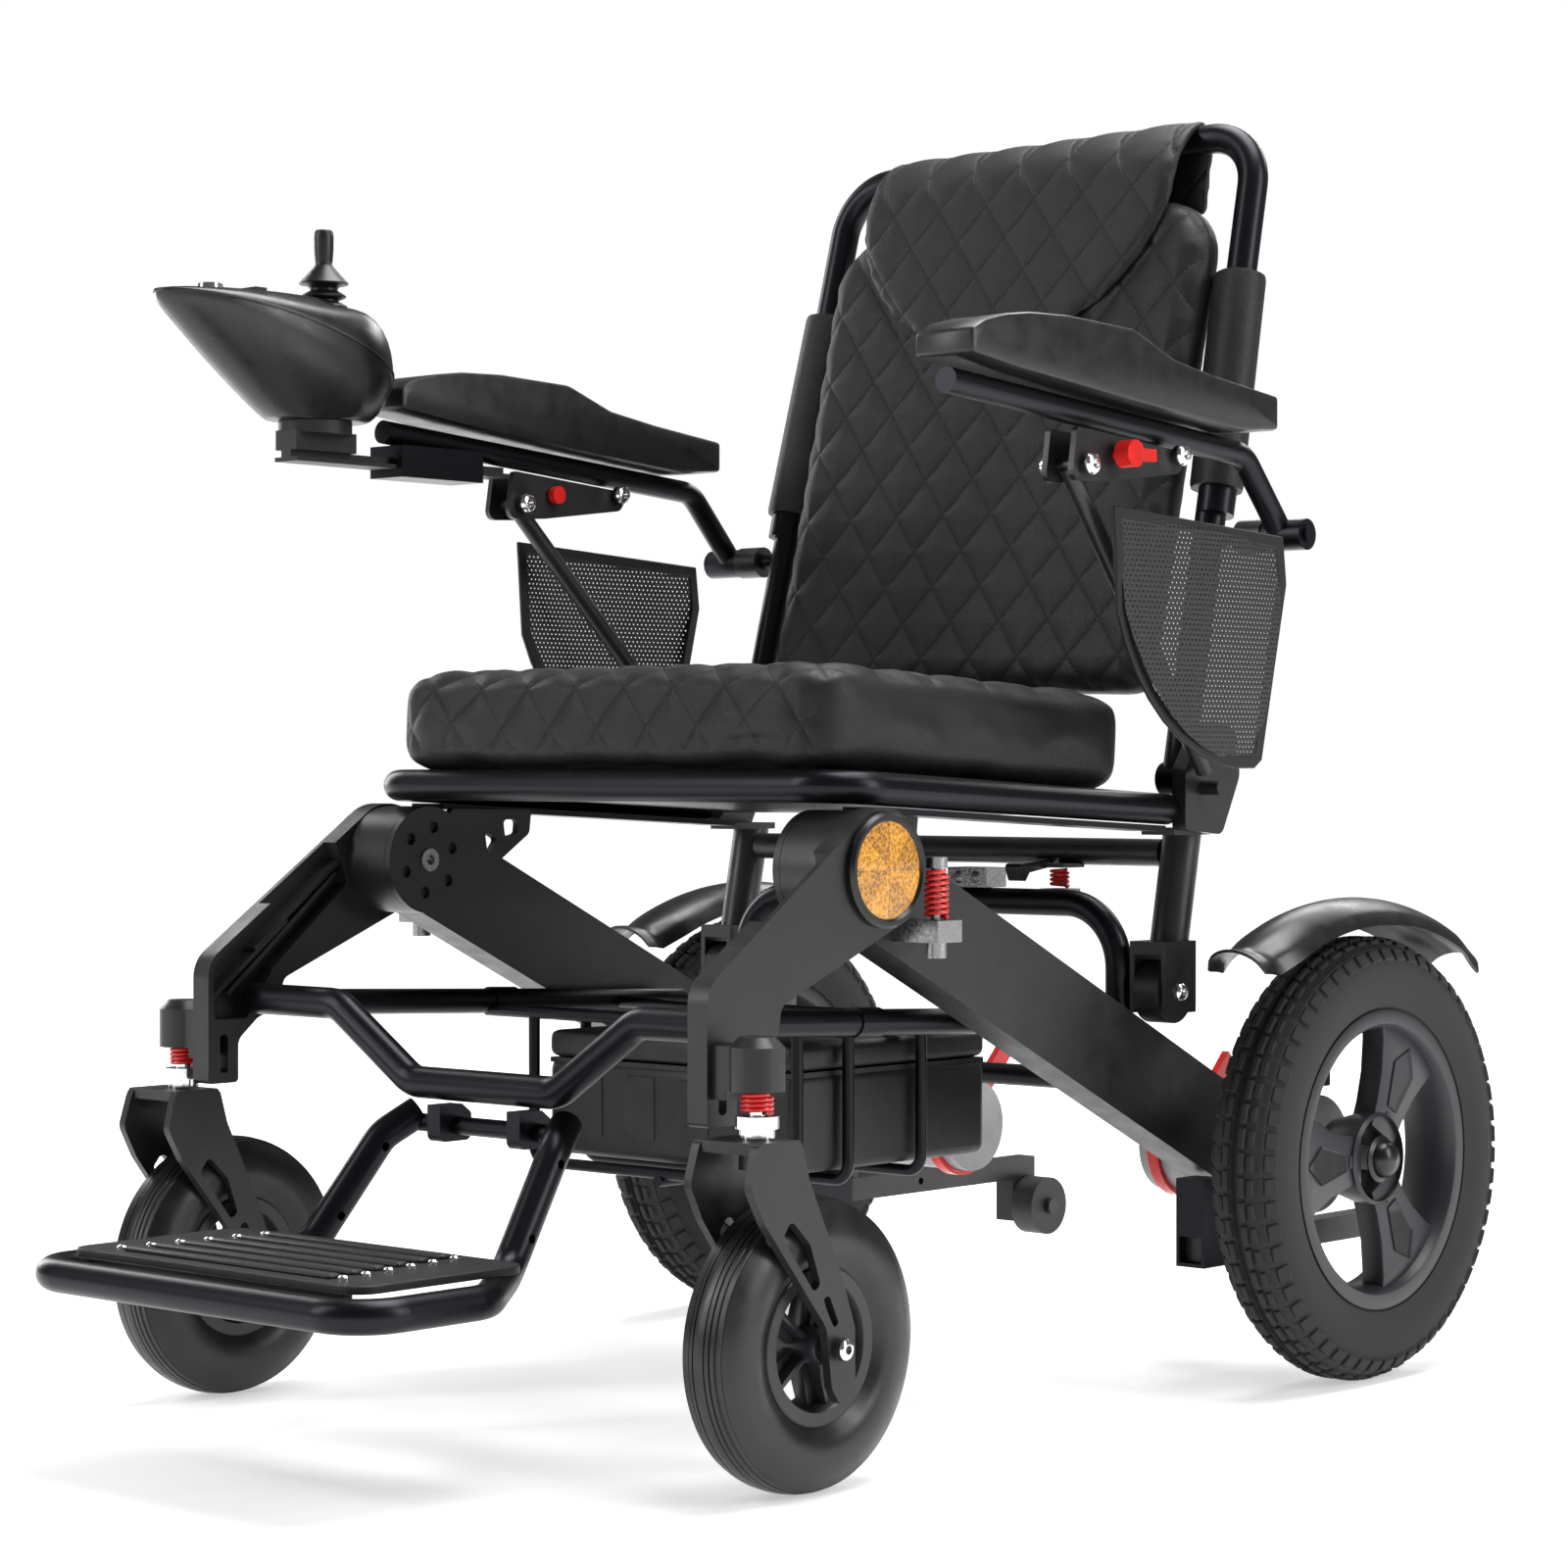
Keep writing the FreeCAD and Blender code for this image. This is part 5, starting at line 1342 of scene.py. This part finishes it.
@dataclass
class Footrest:
    """The tread plate with its strips and studs."""

    strips: int = 6

    def plate(self) -> None:
        """A thin plate with rounded corners and raised strips across it."""
        low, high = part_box("footplate")
        top = high.z - 0.0016
        work = Work()
        work.block((low.x, low.y, top - 0.005), (high.x, high.y, top))
        uprights = [e for e in work.bm.edges if abs((e.verts[0].co - e.verts[1].co).z) > 0.004]
        work.soften(uprights, 0.016, 5)
        run = high.y - low.y
        for index in range(self.strips):
            y = low.y + run * (0.13 + 0.74 * index / (self.strips - 1))
            half = 0.096 - 0.003 * index
            work.block((-half, y - 0.0052, top - 0.001), (half, y + 0.0052, top + 0.0028), 0.0018)
        work.block((low.x + 0.02, low.y + 0.006, top - 0.012),
                   (high.x - 0.02, low.y + 0.014, top - 0.004), 0.001)
        work.piece("tread_plate", DULL, "footrest", ["footplate"], sharp=30, bevel=0.0006)
        studs = Work()
        for index in range(self.strips):
            y = low.y + run * (0.13 + 0.74 * index / (self.strips - 1))
            half = 0.103 - 0.003 * index
            for x in (-half, half):
                studs.spin([(0.0, 0.0036), (0.0016, 0.0034), (0.0026, 0.0022), (0.003, 0.0002)],
                           Vector((x, y, top)), steps=16, axis="Z")
        studs.piece("plate_studs", CHROME, "footrest")

    def build(self) -> None:
        """Makes the footrest."""
        self.plate()
        repaint(GLOSS_TUBE, "footrest_frame")


@dataclass
class Fender:
    """A crowned guard over one drive wheel."""

    side: Side
    axis_y: float = 0.265
    axis_z: float = 0.070
    radius: float = 0.2715
    half: float = 0.030

    def build(self) -> None:
        """A crowned strip, narrower and rolled at its ends."""
        sign = self.side.value
        x = middle(f"rear_tyre_{self.side.word}").x
        centre = Vector((x, self.axis_y, self.axis_z))
        start, end = math.radians(31.5), math.radians(-32.5)
        profile = []
        for step in range(15):
            across = -1 + 2 * step / 14
            drop = 0.011 * across ** 2 + 0.007 * abs(across) ** 8
            profile.append((across * self.half, self.radius - drop))
        work = Work()
        work.spin(profile, centre, steps=44, span=(start, end))
        for vert in work.bm.verts:
            away = vert.co - centre
            angle = math.atan2(-away.y, away.z)
            share = abs(angle) / start
            narrow = 1 - 0.22 * smooth_step(0.72, 1.0, share)
            vert.co.x = x + (vert.co.x - x) * narrow
            if angle > 0:
                lift = 0.010 * smooth_step(0.90, 1.0, share)
                vert.co += away.normalized() * lift
        bmesh.ops.recalc_face_normals(work.bm, faces=work.bm.faces)
        bmesh.ops.solidify(work.bm, geom=work.bm.faces[:], thickness=0.0022)
        low, high = sorted((sign * 0.2545, sign * 0.2575))
        work.block((low, self.axis_y - 0.002, 0.205), (high, self.axis_y + 0.024, 0.336), 0.001)
        low, high = sorted((sign * 0.2545, sign * 0.275))
        work.block((low, self.axis_y - 0.002, 0.3325), (high, self.axis_y + 0.024, 0.3355), 0.001)
        work.piece(f"crowned_fender_{self.side.word}", SHELL, "rear_frame",
                   ["fenders"] if sign > 0 else [], sharp=40)


@dataclass
class Chassis:
    """Castings, tubes, battery, reflectors and bright fittings."""

    def reflector(self, side: Side) -> None:
        """Black bezel and amber lens on the main pivot's end."""
        pivot = joint_at("front_leg_fold")
        sign = side.value
        face = Vector((sign * 0.2380, pivot.y, pivot.z))
        bezel = Work()
        ring = [(0.0, 0.0365), (0.0035, 0.0365), (0.0056, 0.0345), (0.0056, 0.0320), (0.0040, 0.0306),
                (0.0, 0.0306)]
        bezel.spin([(sign * x, r) for x, r in ring], face, steps=64, loop=True)
        bezel.piece(f"reflector_bezel_{side.word}", SHELL, "front_leg_frame",
                    ["reflectors"] if sign > 0 else [], sharp=40)
        lens = Work()
        dome = [(0.0005, 0.0307), (0.0036, 0.0307), (0.0044, 0.020), (0.0047, 0.010), (0.0048, 0.0003)]
        lens.spin([(sign * x, r) for x, r in dome], face, steps=64)
        amber = Prism("amber_prisms", (0.85, 0.36, 0.01), centre_y=pivot.y, centre_z=pivot.z)
        lens.piece(f"reflector_lens_{side.word}", amber, "front_leg_frame", sharp=60)

    def battery(self) -> None:
        """The battery case: rounded box, lid line and four raised strips on its front."""
        low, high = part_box("battery_case")
        work = Work()
        work.block(low, (high.x, high.y, high.z - 0.020), 0.007, segments=3)
        work.block((low.x + 0.0015, low.y + 0.0015, high.z - 0.0225),
                   (high.x - 0.0015, high.y - 0.0015, high.z - 0.019))
        work.block((low.x, low.y, high.z - 0.0185), high, 0.006, segments=3)
        for x in (-0.075, -0.025, 0.025, 0.075):
            work.block((x - 0.014, low.y - 0.0008, low.z + 0.014),
                       (x + 0.014, low.y + 0.002, high.z - 0.028), 0.001)
        work.piece("battery_box", DULL, "battery_carrier", ["battery_case"], sharp=30)

    def caster_heads(self, side: Side) -> None:
        """Bright heads of one caster's axle."""
        hub = middle(f"caster_tyre_{side.word}")
        low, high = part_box(f"caster_fork_{side.word}")
        work = Work()
        for x, way in ((high.x - 0.0015, 1), (low.x + 0.0015, -1)):
            socket_head(work, Vector((x, hub.y, hub.z)), way, 0.0066, 0.003)
        work.piece(f"axle_heads_{side.word}", CHROME, f"{side.word}_caster_fork")

    def coil(self, side: Side) -> None:
        """One caster's spring, copied from the frame's spring and riding on the stem."""
        name = f"caster_spring_{side.word}"
        work = Work()
        work.bm.from_mesh(frame["nodes"][name].data)
        bmesh.ops.transform(work.bm, matrix=frame["nodes"][name].matrix_world, verts=work.bm.verts)
        item = work.piece(f"caster_coil_{side.word}", RED_ENAMEL, f"{side.word}_caster_stem",
                          [name], sharp=60)
        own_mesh(item)

    def roller_heads(self, side: Side) -> None:
        """Bright heads of the post roller's bolt."""
        roller = middle(f"post_roller_{side.word}")
        low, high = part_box(f"post_roller_{side.word}")
        work = Work()
        for x, way in ((high.x + 0.0052, 1), (low.x - 0.0052, -1)):
            socket_head(work, Vector((x, roller.y, roller.z)), way, 0.0062, 0.0035)
        work.piece(f"roller_heads_{side.word}", CHROME, "seat")

    def build(self) -> None:
        """Makes the chassis."""
        for side in Side:
            self.reflector(side)
            self.caster_heads(side)
            self.roller_heads(side)
            self.coil(side)
        self.battery()
        self.paint()

    def paint(self) -> None:
        """Finishes of the frame's own nodes that stay."""
        repaint(SATIN_CAST, "rear_arms", "front_legs")
        repaint(GLOSS_TUBE, "rear_cross_members", "front_cross_tube", "battery_cradle")
        repaint(MOTOR_COAT, "drive_motors")
        repaint(STEEL, "pivot_hardware")
        repaint(RED_ENAMEL, "suspension_springs")
        repaint(CHROME, *both("caster_stem"))
        repaint(FORK_COAT, *both("caster_fork"))
        repaint(SATIN_CAST, *both("antitip_arm"))
        repaint(DULL, *both("antitip_wheel"), *both("post_roller"))
        repaint(RED_KNOB, *both("clutch_lever"))


def main() -> None:
    """Builds the chair's looks in order."""
    logging.basicConfig(level=logging.INFO, format="%(name)s: %(message)s")
    Studio().build()
    Chassis().build()
    Footrest().build()
    for side in Side:
        DriveWheel(side).build()
        Caster(side).build()
        Fender(side).build()
        Armrest(side).build()
    Joystick().build()
    Seat().build()
    Backrest().build()


if __name__ == "__main__":
    main()
